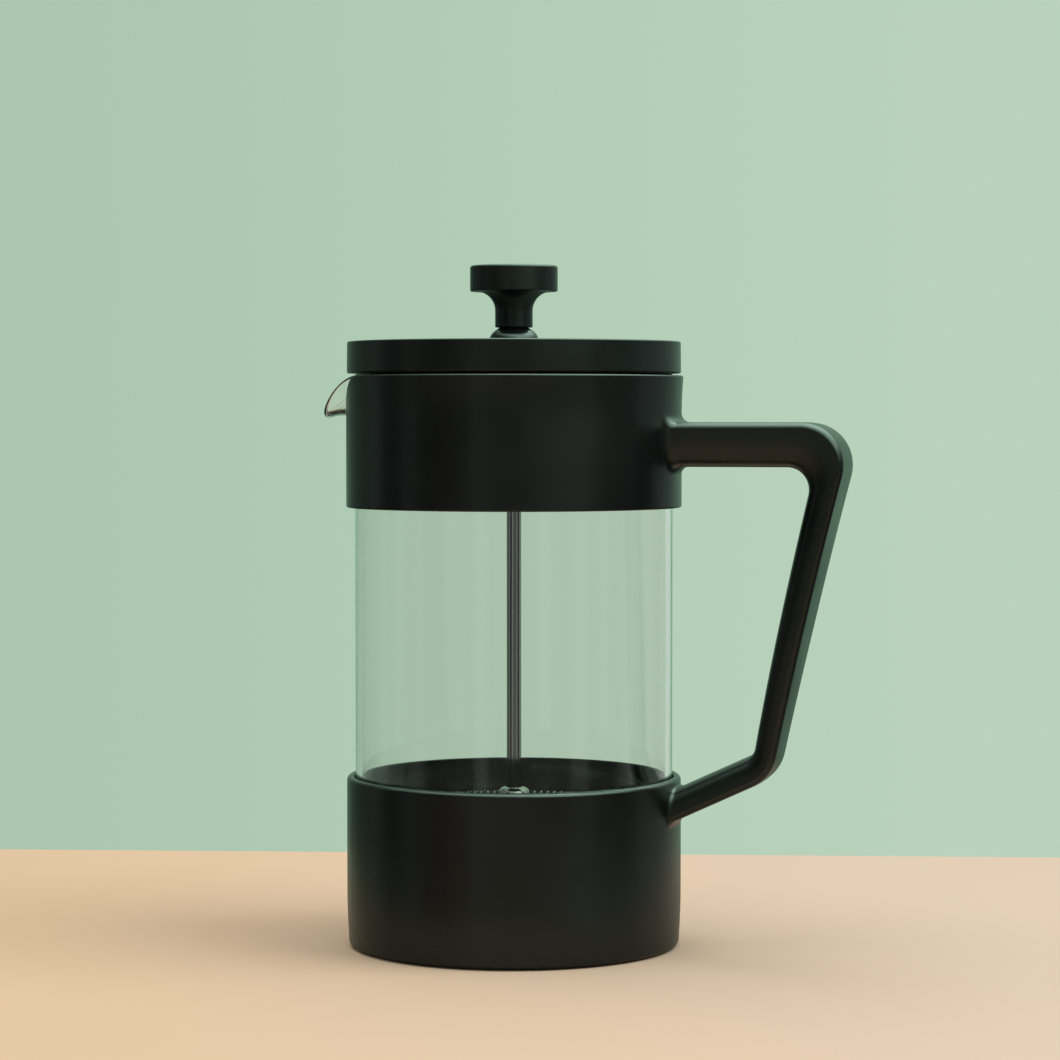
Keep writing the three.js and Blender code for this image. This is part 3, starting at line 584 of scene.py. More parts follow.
def handle_surface():
    """Sections carried along the handle's two lines, then fitted to the walls.

    The grip bows in by 4 * bow * s * (1 - s). At distance d from a wall the fillet of radius r
    adds r * (1 - sqrt(1 - (1 - d / r) ** 2)) all round, and near the wall of radius R a point y
    to the side moves in by R - sqrt(R ** 2 - y ** 2)."""
    outer = bent_line(outer_line, OUTER_CORNERS)
    inner = bent_line(inner_line, INNER_CORNERS)
    count = len(outer)
    grip = (outer[:, 1] - outer_line[2, 1]) / (outer_line[1, 1] - outer_line[2, 1])
    down = np.clip(1 - grip, 0, 1)
    bow = 4 * GRIP_BOW * down * (1 - down)
    outer[:, 0] -= bow
    inner[:, 0] -= bow
    wall = np.where(np.arange(count) < count / 2, collar_radius, cup_radius)
    fillet = np.where(np.arange(count) < count / 2, *ROOT_FILLETS)
    distance = np.minimum(outer[:, 0], inner[:, 0]) - wall
    remaining = np.clip(1 - distance / fillet, 0, 1)
    flare = fillet * (1 - np.sqrt(1 - remaining ** 2))
    axis = inner - outer
    depth = np.linalg.norm(axis, axis=1)
    axis = axis / depth[:, None]
    width = np.interp(down, [NARROWING, 1], [GRIP_WIDTH, LOW_WIDTH])
    to_root = np.clip(1 - distance / (2 * BEND_REACH), 0, 1) ** 2 * (wall == collar_radius)
    half = (width + (ROOT_WIDTH - GRIP_WIDTH) * to_root) / 2 + flare
    right = section_shares(depth + 2 * flare, half)
    left = right[:, -2:0:-1] * [1, -1]
    section = np.concatenate([right, left], axis=1)
    place = outer[:, None] + axis[:, None] * (section[..., :1] - flare[:, None, None])
    across = section[..., 1]
    wall = wall[:, None]
    bend = np.clip(1 - distance / BEND_REACH, 0, 1)[:, None]
    bend = bend ** 2 * (3 - 2 * bend)
    shift = (np.sqrt(np.maximum(wall ** 2 - across ** 2, 0)) - wall) * bend
    slope = np.where(np.arange(count) < count / 2, 0, LOW_ARM_SLOPE)[:, None]
    points = np.stack([place[..., 0] + shift, across, place[..., 1] + shift * slope], -1)
    ends = points[[0, -1]].mean(axis=1, keepdims=True) * np.ones((1, points.shape[1], 1))
    points = np.concatenate([ends[:1], points, ends[1:]])
    return points.reshape(-1, 3), grid_faces(len(points), points.shape[1])


handle = make_piece("handle_bar", [handle_surface()], "frame", ["handle"])

# %% [markdown]
# ## The glass beaker
# The beaker is blown borosilicate glass with a wall of two millimetres. Its spout is made by
# pulling the hot rim outwards and down, so the wall there bends but keeps its thickness. A
# spout could be sculpted, but a formula stays smooth: the outer skin follows a curve that
# leaves the wall upright and ends at the lip, and every other point of the glass keeps its
# depth behind that skin.

# %% Beaker with its spout
glass_low, glass_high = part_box("glass_beaker")
GLASS_WALL = 2 * MM
GLASS_FLOOR = 2.6 * MM
GLASS_CORNER = 12 * MM
GLASS_ALLOWANCE = 0.4 * MM        # between the glass and the cup's wall
SPOUT_REACH = 10.8 * MM
SPOUT_DROP = 12.3 * MM
SPOUT_ZONE = 18.9 * MM            # height of the wall that bends with the spout
SPOUT_RISE = 12.5 * MM            # how long the skin stays close to the wall
SPOUT_LEVEL = 28 * MM             # how long it runs out level before the lip
SPOUT_DROOP = math.radians(14.5)  # how far the lip points below level
SPOUT_HALF_ANGLE = math.radians(39.4)
LIP_REACH_POWER = 2.8             # the higher, the narrower the lip reaches out
LIP_DROP_POWER = 4.5              # and the narrower it drops
SPOUT_CROWDING = 0.35             # how much the columns crowd towards the spout
BEAKER_STEPS = 320
SPOUT_ROWS = 24
SPOUT_TOP_ROW = 0.98              # share of the spout's height at which the last row lies
SLOPE_STEP = 1e-3                 # between the points that a slope is taken from
FINE_ARC = 12                     # points of an arc that is large or shiny

glass_radius = cup_inside - GLASS_ALLOWANCE
glass_rim = glass_high.z
lip_round = GLASS_WALL / 2 - TINY
skin_top = glass_rim - lip_round  # above it lies only the rounding of the lip


def spout_skin(angle, rise):
    """The outer skin at an angle from the spout's middle; rise runs from 0 to 1 at its top.

    Across the spout the pull is a cosine. The lip turns with its square and reaches out and
    drops with higher powers of it, so that it narrows to a beak. Up the wall the skin is a
    Hermite curve from upright to the lip's direction, which never dips inside the plain
    wall."""
    pull = np.cos(np.minimum(np.abs(angle) / SPOUT_HALF_ANGLE, 1) * np.pi / 2)
    lip_radius = glass_radius + SPOUT_REACH * pull ** LIP_REACH_POWER
    lip_height = skin_top - SPOUT_DROP * pull ** LIP_DROP_POWER
    lip_angle = np.pi / 2 - pull ** 2 * (np.pi / 2 + SPOUT_DROOP)
    rest = 1 - rise
    start, end = rest ** 2 * (1 + 2 * rise), rise ** 2 * (3 - 2 * rise)
    leave, arrive = SPOUT_RISE * rise * rest ** 2, SPOUT_LEVEL * rise ** 2 * rest
    radius = glass_radius * start + lip_radius * end - np.cos(lip_angle) * arrive
    radius = np.maximum(radius, glass_radius)
    height = (glass_rim - SPOUT_ZONE) * start + lip_height * end
    height = height + leave - np.sin(lip_angle) * arrive
    return np.stack([-radius * np.cos(angle), radius * np.sin(angle), height], -1)


def beaker_surface():
    """The plain beaker carried round, then moved behind the pulled skin.

    A point's depth is measured along the skin's normal, the cross product of its slopes, and
    the lip's rounding stands out beyond the skin's top, along its slope."""
    foot = glass_rim - SPOUT_ZONE
    rises = foot + (skin_top - foot) * np.linspace(0, SPOUT_TOP_ROW, SPOUT_ROWS)
    inside = glass_radius - GLASS_WALL
    profile = rounded([
        (0, glass_low.z, 0),
        (glass_radius, glass_low.z, GLASS_CORNER),
        *((glass_radius, rise, 0) for rise in rises),
        (glass_radius, glass_rim, lip_round),
        (inside, glass_rim, lip_round),
        *((inside, rise, 0) for rise in rises[::-1]),
        (inside, glass_low.z + GLASS_FLOOR, GLASS_CORNER - GLASS_WALL),
        (0, glass_low.z + GLASS_FLOOR, 0),
    ], FINE_ARC)
    even = round_angles(BEAKER_STEPS)
    angle = even - SPOUT_CROWDING * np.sin(even)
    radius, height = (np.repeat(profile[:, k:k + 1], len(angle), axis=1) for k in (0, 1))
    angle = np.broadcast_to(angle, radius.shape)
    angle = np.where(angle > np.pi, angle - 2 * np.pi, angle)
    plain = np.stack([-radius * np.cos(angle), radius * np.sin(angle), height], -1)
    rise = np.clip((height - foot) / (skin_top - foot), 0, 1)
    around = spout_skin(angle + SLOPE_STEP, rise) - spout_skin(angle - SLOPE_STEP, rise)
    upward = spout_skin(angle, rise) - spout_skin(angle, rise - SLOPE_STEP)
    inward = unit(np.cross(around, upward))
    pulled = spout_skin(angle, rise) + inward * (glass_radius - radius)[..., None]
    pulled = pulled + unit(upward) * np.maximum(height - skin_top, 0)[..., None]
    in_spout = (height > foot) & (np.abs(angle) < SPOUT_HALF_ANGLE)
    points = np.where(in_spout[..., None], pulled, plain)
    return points.reshape(-1, 3), grid_faces(*radius.shape, close_rows=True)


beaker = make_piece("glass_body", [beaker_surface()], "beaker", ["glass_beaker"])

# %% [markdown]
# ## The lid
# The lid is a shallow moulded cap. Under it hangs a ring that fits the beaker's mouth, with a
# row of slots that let the drink out on the spout's side. The cap is one turned section; the
# ring is turned too, and its slots are cells of the grid that are left out, with small walls
# added between the inner and the outer skin.

# %% Lid cap
lid_low, lid_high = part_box("lid_cap")
guide_low, guide_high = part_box("rod_guide")
knob_low, knob_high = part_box("knob")
nut_low, nut_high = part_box("guide_nut")
strainer_low, strainer_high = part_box("lid_strainer")
LID_WALL = 2.2 * MM
LID_TOP_WALL = 2.4 * MM
LID_TAPER = 0.1 * MM
LID_EDGE = 0.5 * MM
HOLE_EDGE = 0.2 * MM
BOSS_FILLET = 0.8 * MM
SKIRT_FILLET = 1.5 * MM
LID_LIFT = 0.4 * MM               # of the skirt's lower edge above the CAD cap's
GUIDE_SHANK = 4.3 * MM
ROD_RADIUS = 2.3 * MM

lid_radius = lid_high.y
guide_hole = GUIDE_SHANK + GAP
rod_hole = ROD_RADIUS + GAP


def lid_profile():
    """The cap's section: a flat top with a boss under its middle, and a short skirt."""
    boss = guide_hole + LID_WALL
    ceiling = lid_high.z - LID_TOP_WALL
    return rounded([
        (guide_hole, strainer_high.z + GAP, HOLE_EDGE),
        (boss, strainer_high.z + GAP, MOULDED_EDGE),
        (boss, ceiling, BOSS_FILLET),
        (lid_radius - LID_WALL, ceiling, SKIRT_FILLET),
        (lid_radius - LID_WALL, lid_low.z + LID_LIFT, MOULDED_EDGE),
        (lid_radius, lid_low.z + LID_LIFT, LID_EDGE),
        (lid_radius - LID_TAPER, lid_high.z, LID_EDGE),
        (guide_hole, lid_high.z, MOULDED_EDGE),
    ])


lid_cap = make_piece("lid_top", [turned(lid_profile())], "lid", ["lid_cap"])

# %% Strainer ring
SKIRT_WALL = 1.6 * MM
SLOT_COUNT = 9
SLOT_WIDTH = 2.2 * MM
SLOT_PITCH = math.radians(7)
SLOT_MARGIN = 2.4 * MM            # above and below the slots
SKIRT_GAP = 0.4 * MM              # to the beaker's mouth
SKIRT_EDGE = 0.5 * MM
FLANGE_EDGE = 0.4 * MM

skirt_outside = glass_radius - GLASS_WALL - SKIRT_GAP
skirt_inside = skirt_outside - SKIRT_WALL


def strainer_surface():
    """A turned ring with slots.

    Rows of the section lie at the slots' ends on both skins, and columns at their sides. The
    cells between them are left out, and four small walls per slot join the skins."""
    slot_low, slot_high = strainer_low.z + SLOT_MARGIN, lid_low.z - SLOT_MARGIN
    slot_ends = [
        (skirt_inside, slot_high), (skirt_inside, slot_low),
        (skirt_outside, slot_low), (skirt_outside, slot_high),
    ]
    profile = rounded([
        (guide_hole, lid_low.z, HOLE_EDGE),
        (skirt_inside, lid_low.z, SKIRT_EDGE),
        *((*end, 0) for end in slot_ends[:2]),
        (skirt_inside, strainer_low.z, SKIRT_EDGE),
        (skirt_outside, strainer_low.z, SKIRT_EDGE),
        *((*end, 0) for end in slot_ends[2:]),
        (skirt_outside, lid_low.z, HOLE_EDGE),
        (strainer_high.y, lid_low.z, FLANGE_EDGE),
        (strainer_high.y, strainer_high.z, FLANGE_EDGE),
        (guide_hole, strainer_high.z, HOLE_EDGE),
    ], steps=4)
    slots = np.pi + (np.arange(SLOT_COUNT) - (SLOT_COUNT - 1) / 2) * SLOT_PITCH
    half = SLOT_WIDTH / 2 / skirt_outside
    angles = round_angles(extra=(slots[:, None] + np.array([-half, 0, half])).ravel())
    points, faces = turned(profile, angles)
    count = len(angles)
    a, b, c, d = (np.argmin(np.abs(profile - end).sum(1)) * count for end in slot_ends)
    middle = (angles + np.append(angles[1:], angles[0] + 2 * np.pi)) / 2
    column = np.flatnonzero(np.abs(middle[:, None] - slots).min(1) < half)
    keep = np.ones(len(faces), bool)
    keep[np.concatenate([a + column, c + column])] = False
    from_slot = np.abs(slots[:, None] - angles).min(0)
    side = np.flatnonzero(np.abs(from_slot - half) < SAME_ANGLE)
    walls = [
        np.stack([a + column, a + column + 1, d + column + 1, d + column], 1),
        np.stack([b + column, b + column + 1, c + column + 1, c + column], 1),
        np.stack([a + side, b + side, c + side, d + side], 1),
    ]
    return points, np.concatenate([faces[keep], *walls])


strainer = make_piece(
    "strainer_ring", [strainer_surface()], "lid", ["lid_strainer"],
)

# %% [markdown]
# ## The rod's guide and its nut
# A glossy bush with a low dome carries the rod through the lid, and a hexagon nut clamps it
# from below. The dome is part of an ellipse, cut off where the rod comes out. A nut is a
# turned shape too: its radius is that of a hexagon, and where its corners are chamfered the
# radius is that of a cone, whichever is less.

# %% Rod guide and hexagon nuts
DOME_RADIUS = 7.8 * MM
DOME_RISE = 5.05 * MM
DOME_NECK = 4.85 * MM
LIP_INSET = 0.3 * MM              # the dome ends in a low lip that carries the knob
TOUCH = 0.02 * MM                 # what is left between pieces that touch
DOME_STEPS = 14
GUIDE_EDGE = 0.4 * MM
GUIDE_LIP_EDGE = 0.1 * MM
GUIDE_NUT_ACROSS = 15 * MM
NUT_STEPS = 120
CHAMFER_ROWS = 5
NUT_SHARP = 25                    # degrees; a nut's chamfers are crisp


def guide_profile():
    """The bush: a plain shank, a flat underside, and a dome that is part of an ellipse."""
    base = lid_high.z + GAP
    angle = np.linspace(0, math.acos(DOME_NECK / DOME_RADIUS), DOME_STEPS)
    top = knob_low.z - TOUCH
    return rounded([
        (rod_hole, guide_low.z, HOLE_EDGE),
        (GUIDE_SHANK, guide_low.z, GUIDE_EDGE),
        (GUIDE_SHANK, base, 0),
        *((DOME_RADIUS * np.cos(a), base + DOME_RISE * np.sin(a), 0) for a in angle),
        (DOME_NECK - LIP_INSET, top, GUIDE_LIP_EDGE),
        (rod_hole, top, HOLE_EDGE),
    ])


def nut_surface(across, low, high, hole):
    """A hexagon nut: radius = the lesser of across / 2 / cos(angle from a flat's middle) and a
    cone of 30 degrees that starts at across / 2 on both faces."""
    corner = across / 2 / math.cos(math.pi / 6)
    chamfer = (corner - across / 2) * math.tan(math.pi / 6)
    share = np.linspace(0, 1, CHAMFER_ROWS)
    outside = across / 2 + share * (corner - across / 2)
    profile = np.concatenate([
        [(hole, low)],
        np.stack([outside, low + share * chamfer], 1),
        np.stack([outside, high - share * chamfer], 1)[::-1],
        [(hole, high)],
    ])

    def six_flats(radius, height, angle):
        flat = across / 2 / np.cos(np.mod(angle, np.pi / 3) - np.pi / 6)
        return np.minimum(radius, flat)

    return turned(profile, round_angles(NUT_STEPS), six_flats)


rod_guide = make_piece(
    "guide_dome", [turned(guide_profile())], "lid_bush", ["rod_guide"],
)
print("The CAD guide ends", round(guide_high.z / MM, 1), "mm up, and the knob begins at",
      round(knob_low.z / MM, 1))
guide_nut = make_piece(
    "guide_hexagon", [nut_surface(GUIDE_NUT_ACROSS, nut_low.z, nut_high.z, guide_hole)],
    "lid", ["guide_nut"], sharp=NUT_SHARP,
)

# %% [markdown]
# ## The plunger's rod and knob
# The rod is drawn steel wire of 4.6 mm. The knob is moulded round a brass insert that is
# threaded on the rod: a thick flat disc that runs into a slim stem through a hollow fillet.
# Its section has few corners, and each one is rounded by a radius of its own.

# %% Rod, knob and insert
rod_low, rod_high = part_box("plunger_rod")
insert_low, insert_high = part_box("knob_insert")
KNOB_FLANGE = 8.1 * MM            # the thick disc that the hand pushes
KNOB_STEM = 5.93 * MM
KNOB_FILLET = 6 * MM
KNOB_EDGES = (0.35 * MM, 0.45 * MM, 0.8 * MM)    # the stem's foot, the disc's underside and top
ROD_EDGE = 0.5 * MM

small_circle = round_angles(SMALL_CIRCLE_STEPS)
rod = make_piece(
    "steel_rod",
    [turned(flat_disc(ROD_RADIUS, rod_low.z, rod_high.z, ROD_EDGE), small_circle)],
    "rod", ["plunger_rod"],
)


def knob_profile():
    """The knob's section, from the pocket for the insert, down the stem and up to the top."""
    pocket = insert_high.y + GAP
    flange_low = knob_high.z - KNOB_FLANGE
    stem_edge, low_edge, top_edge = KNOB_EDGES
    return rounded([
        (0, insert_high.z + GAP, 0),
        (pocket, insert_high.z + GAP, HOLE_EDGE),
        (pocket, knob_low.z, HOLE_EDGE),
        (KNOB_STEM, knob_low.z, stem_edge),
        (KNOB_STEM, flange_low, KNOB_FILLET),
        (knob_high.y, flange_low, low_edge),
        (knob_high.y, knob_high.z, top_edge),
        (0, knob_high.z, 0),
    ], FINE_ARC)


knob = make_piece("knob_grip", [turned(knob_profile())], "plunger", ["knob"])
insert_section = flat_ring(
    rod_hole, insert_high.y, insert_low.z, insert_high.z, MOULDED_EDGE,
)
insert = make_piece(
    "brass_insert", [turned(insert_section, small_circle)],
    "plunger", ["knob_insert"],
)

# %% [markdown]
# ## The filter
# A stack of discs hangs on the rod's end. From below: a nut, a plate with four windows, a
# woven mesh, a spring coil that presses the mesh against the glass, a pierced plate, a washer
# and a domed hub. The plates could be cut with booleans; here each hole has a cell of its own,
# a patch of the ring whose points run from the patch's border to the hole. The cells of one
# row use steps that fit those of the next, so that all their borders share points.

# %% Helpers for pierced plates
CELL_ROWS = 4


def cell_border(inside, outside, count, along, side):
    """The border of one cell of a ring that is split into count cells.

    It runs along the outer arc, in along one side, back along the inner arc and out again, as
    angles and radii: x = radius * cos(angle) and y = radius * sin(angle)."""
    half = np.pi / count

    def run(start, end, steps):
        return np.linspace(start, end, steps, endpoint=False)

    angle = np.concatenate([
        run(-half, half, along), np.full(side, half),
        run(half, -half, along), np.full(side, -half),
    ])
    radius = np.concatenate([
        np.full(along, outside), run(outside, inside, side),
        np.full(along, inside), run(inside, outside, side),
    ])
    return np.stack([radius * np.cos(angle), radius * np.sin(angle)], -1)


def pierced_ring(border, hole, count, level):
    """The cell between a border and a hole, repeated count times round Z.

    Points lie on straight lines from each border point to the hole's point of that number."""
    share = np.linspace(0, 1, CELL_ROWS)[:, None, None]
    cell = (border + share * (hole - border)).reshape(-1, 2)
    faces = grid_faces(CELL_ROWS, len(border))
    turn = np.arange(count)[:, None] * 2 * np.pi / count
    x = cell[:, 0] * np.cos(turn) - cell[:, 1] * np.sin(turn)
    y = cell[:, 0] * np.sin(turn) + cell[:, 1] * np.cos(turn)
    points = np.stack([x, y, np.full_like(x, level)], -1).reshape(-1, 3)
    offsets = (np.arange(count) * len(cell))[:, None, None]
    return points, (faces + offsets).reshape(-1, 4)


def swept_sheet(line, angles):
    """An open line of (radius, height) points carried round Z, as a sheet without thickness."""
    radius, height = np.array(line, float).T[..., None]
    places = radius * np.cos(angles), radius * np.sin(angles), height
    points = np.stack(np.broadcast_arrays(*places), -1)
    return points.reshape(-1, 3), grid_faces(len(line), len(angles))


def thicken(sheet, thickness):
    """Gives a sheet its thickness, half to each side."""
    wall = sheet.modifiers.new("sheet_thickness", "SOLIDIFY")
    wall.thickness = thickness
    wall.offset = 0
    wall.use_even_offset = True
    sheet.modifiers.move(len(sheet.modifiers) - 1, 0)
    return sheet


# %% Pierced plate
plate_low, plate_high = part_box("spiral_plate")
PLATE_THICKNESS = 0.8 * MM
PLATE_HOLE = 2.5 * MM
PLATE_BEND = 1.1 * MM             # radius of the bend at the rim
PLATE_SIDE_STEPS = 6
PLATE_ROWS = (
    {"hole_at": 17 * MM, "count": 8, "inside": 11 * MM, "outside": 23.5 * MM, "steps": 14},
    {"hole_at": 31 * MM, "count": 14, "inside": 23.5 * MM, "outside": 37.5 * MM, "steps": 8},
)


def plate_shells():
    """Two rows of pierced cells, a plain disc inside them and a turned-up rim outside."""
    middle = plate_low.z + PLATE_THICKNESS / 2
    shells = []
    for row in PLATE_ROWS:
        border = cell_border(
            row["inside"], row["outside"], row["count"], row["steps"], PLATE_SIDE_STEPS,
        )
        centre = np.array([row["hole_at"], 0])
        hole = centre + PLATE_HOLE * unit(border - centre)
        shells.append(pierced_ring(border, hole, row["count"], middle))
    columns = PLATE_ROWS[0]["count"] * PLATE_ROWS[0]["steps"]
    angles = np.arange(columns) * 2 * np.pi / columns
    rim, bend = plate_high.y - PLATE_THICKNESS / 2, PLATE_BEND
    arc = np.linspace(-np.pi / 2, 0, PLATE_SIDE_STEPS)
    line = [
        (PLATE_ROWS[-1]["outside"], middle),
        *zip(rim - bend + bend * np.cos(arc), middle + bend + bend * np.sin(arc)),
        (rim, plate_high.z),
    ]
    shells.append(swept_sheet(line, angles))
    shells.append(swept_sheet([(rod_hole, middle), (PLATE_ROWS[0]["inside"], middle)], angles))
    return shells


plate = thicken(
    make_piece("pierced_plate", plate_shells(), "plunger", ["spiral_plate"]),
    PLATE_THICKNESS,
)

# %% Plate with four windows
cross_low, cross_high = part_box("cross_plate")
CROSS_BAND = 4 * MM
CROSS_ARM = 8 * MM
CROSS_HUB = 9 * MM
CROSS_COUNT = 4
CROSS_STEPS = 24                  # along a window's arcs
CROSS_SIDE_STEPS = 18


def window_border(inside, outside):
    """A window between two arms: its sides run parallel to the arms, half an arm away.

    Its corners are rounded by averaging each point with its neighbours twice."""
    def arc(radius, way):
        half = np.pi / CROSS_COUNT - math.asin(CROSS_ARM / 2 / radius)
        angle = np.linspace(-way * half, way * half, CROSS_STEPS + 1)
        return radius * np.stack([np.cos(angle), np.sin(angle)], -1)

    outer_arc, inner_arc = arc(outside, 1), arc(inside, -1)
    share = np.linspace(0, 1, CROSS_SIDE_STEPS, endpoint=False)[:, None]
    loop = np.concatenate([
        outer_arc[:-1], outer_arc[-1] + share * (inner_arc[0] - outer_arc[-1]),
        inner_arc[:-1], inner_arc[-1] + share * (outer_arc[0] - inner_arc[-1]),
    ])
    for _ in range(2):
        loop = (np.roll(loop, 1, 0) + 2 * loop + np.roll(loop, -1, 0)) / 4
    return loop


def cross_shells():
    """Four cells, each with a window, from the rod's hole to the plate's edge."""
    level = (cross_low.z + cross_high.z) / 2
    border = cell_border(rod_hole, cross_high.y, CROSS_COUNT, CROSS_STEPS, CROSS_SIDE_STEPS)
    window = window_border(CROSS_HUB, cross_high.y - CROSS_BAND)
    return [pierced_ring(border, window, CROSS_COUNT, level)]


cross = thicken(
    make_piece("windowed_plate", cross_shells(), "plunger", ["cross_plate"]),
    cross_high.z - cross_low.z,
)

# %% Mesh, washer, hub and end nut
mesh_low, mesh_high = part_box("filter_mesh")
washer_low, washer_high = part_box("hub_washer")
hub_low, hub_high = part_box("hub_collar")
end_low, end_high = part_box("end_nut")
MESH_SHEET = 0.6 * MM
MESH_BENDS = (1 * MM, 0.5 * MM)   # radii of the pan's bend, outside and inside
MESH_EDGES = (0.1 * MM, 0.25 * MM)    # round the rod and at the rim
WASHER_EDGE = 0.25 * MM
HUB_DOME = 2.4 * MM
HUB_EDGE = 0.4 * MM
HUB_STEPS = 12
END_NUT_ACROSS = 10 * MM


def mesh_profile():
    """A shallow pan: a flat sheet with a turned-up rim."""
    rim, sheet = mesh_high.y, MESH_SHEET
    hole_edge, rim_edge = MESH_EDGES
    return rounded([
        (rod_hole, mesh_low.z, hole_edge),
        (rim, mesh_low.z, MESH_BENDS[0]),
        (rim, mesh_high.z, rim_edge),
        (rim - sheet, mesh_high.z, rim_edge),
        (rim - sheet, mesh_low.z + sheet, MESH_BENDS[1]),
        (rod_hole, mesh_low.z + sheet, hole_edge),
    ])


def hub_profile():
    """A short cylinder whose top is a quarter of an ellipse."""
    shoulder = hub_high.z - HUB_DOME
    reach = hub_high.y - rod_hole
    return rounded([
        (rod_hole, hub_low.z, 0),
        (hub_high.y, hub_low.z, HUB_EDGE),
        *((rod_hole + reach * np.cos(a), shoulder + HUB_DOME * np.sin(a), 0)
          for a in np.linspace(0, np.pi / 2, HUB_STEPS)),
    ])


mesh = make_piece(
    "woven_mesh", [turned(mesh_profile())], "plunger", ["filter_mesh"],
)
washer_section = flat_ring(
    rod_hole, washer_high.y, washer_low.z, washer_high.z, WASHER_EDGE,
)
washer = make_piece(
    "washer_ring", [turned(washer_section, small_circle)],
    "plunger", ["hub_washer"],
)
hub = make_piece(
    "hub_dome", [turned(hub_profile(), small_circle)],
    "plunger", ["hub_collar"],
)
end_nut = make_piece(
    "end_hexagon", [nut_surface(END_NUT_ACROSS, end_low.z, end_high.z, rod_hole)],
    "plunger", ["end_nut"], sharp=NUT_SHARP,
)

# %% [markdown]
# ## The spring coil
# Round the filter's edge lies a long spring that is bent into a ring. It could be a torus with
# a bump, but its turns catch the light one by one, so it is modelled as the wire it is: a
# helix wound round a ring, and a circle carried along that helix.

# %% Spring coil
coil_low, coil_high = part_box("rim_coil")
WIRE_RADIUS = 0.45 * MM
COIL_TURNS = 122
STEPS_PER_TURN = 14
WIRE_SIDES = 8
WIRE_SHARP = 80                   # degrees; a wire of eight sides has to look round


def coil_surface():
    """Wire on a helix: the ring's point plus the coil's radius towards an angle that turns
    COIL_TURNS times, plus the wire's circle in the plane square to the helix."""
    coil_tube = (coil_high.z - coil_low.z) / 2
    ring_radius = coil_high.y - coil_tube
    level = (coil_high.z + coil_low.z) / 2
    wind = coil_tube - WIRE_RADIUS
    count = COIL_TURNS * STEPS_PER_TURN
    around = np.arange(count)[:, None] * 2 * np.pi / count
    winding = around * COIL_TURNS
    outward = np.concatenate([np.cos(around), np.sin(around), 0 * around], 1)
    forward = np.concatenate([-np.sin(around), np.cos(around), 0 * around], 1)
    up = np.array([[0, 0, 1]])
    away = np.cos(winding) * outward + np.sin(winding) * up
    centre = ring_radius * outward + wind * away + level * up
    along = (ring_radius + wind * np.cos(winding)) * forward / COIL_TURNS
    tangent = unit(along + wind * (np.cos(winding) * up - np.sin(winding) * outward))
    across = np.cross(tangent, away)
    turn = np.arange(WIRE_SIDES) * 2 * np.pi / WIRE_SIDES
    circle = np.cos(turn)[:, None] * away[:, None] + np.sin(turn)[:, None] * across[:, None]
    points = centre[:, None] + WIRE_RADIUS * circle
    return points.reshape(-1, 3), grid_faces(count, WIRE_SIDES, close_rows=True)


coil = make_piece(
    "spring_coil", [coil_surface()], "plunger", ["rim_coil"], sharp=WIRE_SHARP,
)

# %% [markdown]
# ## Finishes
# Each finish starts from the real material: its colour as it would be written in sRGB, the
# index of refraction from a table, and the roughness that its making leaves. Moulded plastic
# takes the fine texture of its steel mould; glass is left smooth by the flame; drawn steel has
# lines along it. A few helpers are enough: one turns a written colour into the linear values
# that shaders take, one joins sockets, and one adds a node with its settings and its links.

# %% Helpers for materials
def linear(code):
    """sRGB hex to linear: s / 12.92 up to 0.04045, and ((s + 0.055) / 1.055) ** 2.4 above."""
    srgb = np.array([int(code[start:start + 2], 16) / 255 for start in (1, 3, 5)])
    value = np.where(srgb <= 0.04045, srgb / 12.92, ((srgb + 0.055) / 1.055) ** 2.4)
    return (*value.tolist(), 1.0)


def join(node, links):
    """Joins a node's inputs to outputs; another node stands for its first output in use."""
    for name, source in links.items():
        if isinstance(source, bpy.types.Node):
            source = next(output for output in source.outputs if output.enabled)
        node.id_data.links.new(source, node.inputs[name])


def add_node(tree, kind, settings=None, links=None):
    """Adds a node. A setting is one of its properties or the value of one of its inputs, and a
    link joins an input to another node."""
    made = tree.nodes.new(kind)
    for name, value in (settings or {}).items():
        if not isinstance(name, int) and hasattr(made, name):
            setattr(made, name, value)
        else:
            made.inputs[name].default_value = value
    join(made, links or {})
    return made


def new_finish(name, **constants):
    """A material with one Principled shader whose sockets are set to these constants, and the
    place on the object that its patterns follow."""
    finish = bpy.data.materials.new(name)
    finish.use_nodes = True
    tree = finish.node_tree
    shader = tree.nodes["Principled BSDF"]
    for socket, value in constants.items():
        shader.inputs[socket.replace("_", " ")].default_value = value
    place = add_node(tree, "ShaderNodeTexCoord").outputs["Object"]
    return finish, tree, shader, place


def dress(finish, *made):
    """Gives pieces a finish."""
    for one in made:
        one.data.materials.clear()
        one.data.materials.append(finish)


# %% [markdown]
# ## Satin black plastic
# Collar, cup, handle, lid and knob are moulded polypropylene, dyed black. The mould is etched
# to a fine grain of about a quarter of a millimetre, so highlights are broad and soft, and
# handling polishes some areas more than others and rubs short stretches of the sharp edges
# paler. A noise for the grain drives a bump, a slow noise of a few centimetres shifts the
# roughness, and a third noise chooses where an edge is worn. The grain is drawn twice as coarse
# as it is, because it would be too fine to see.

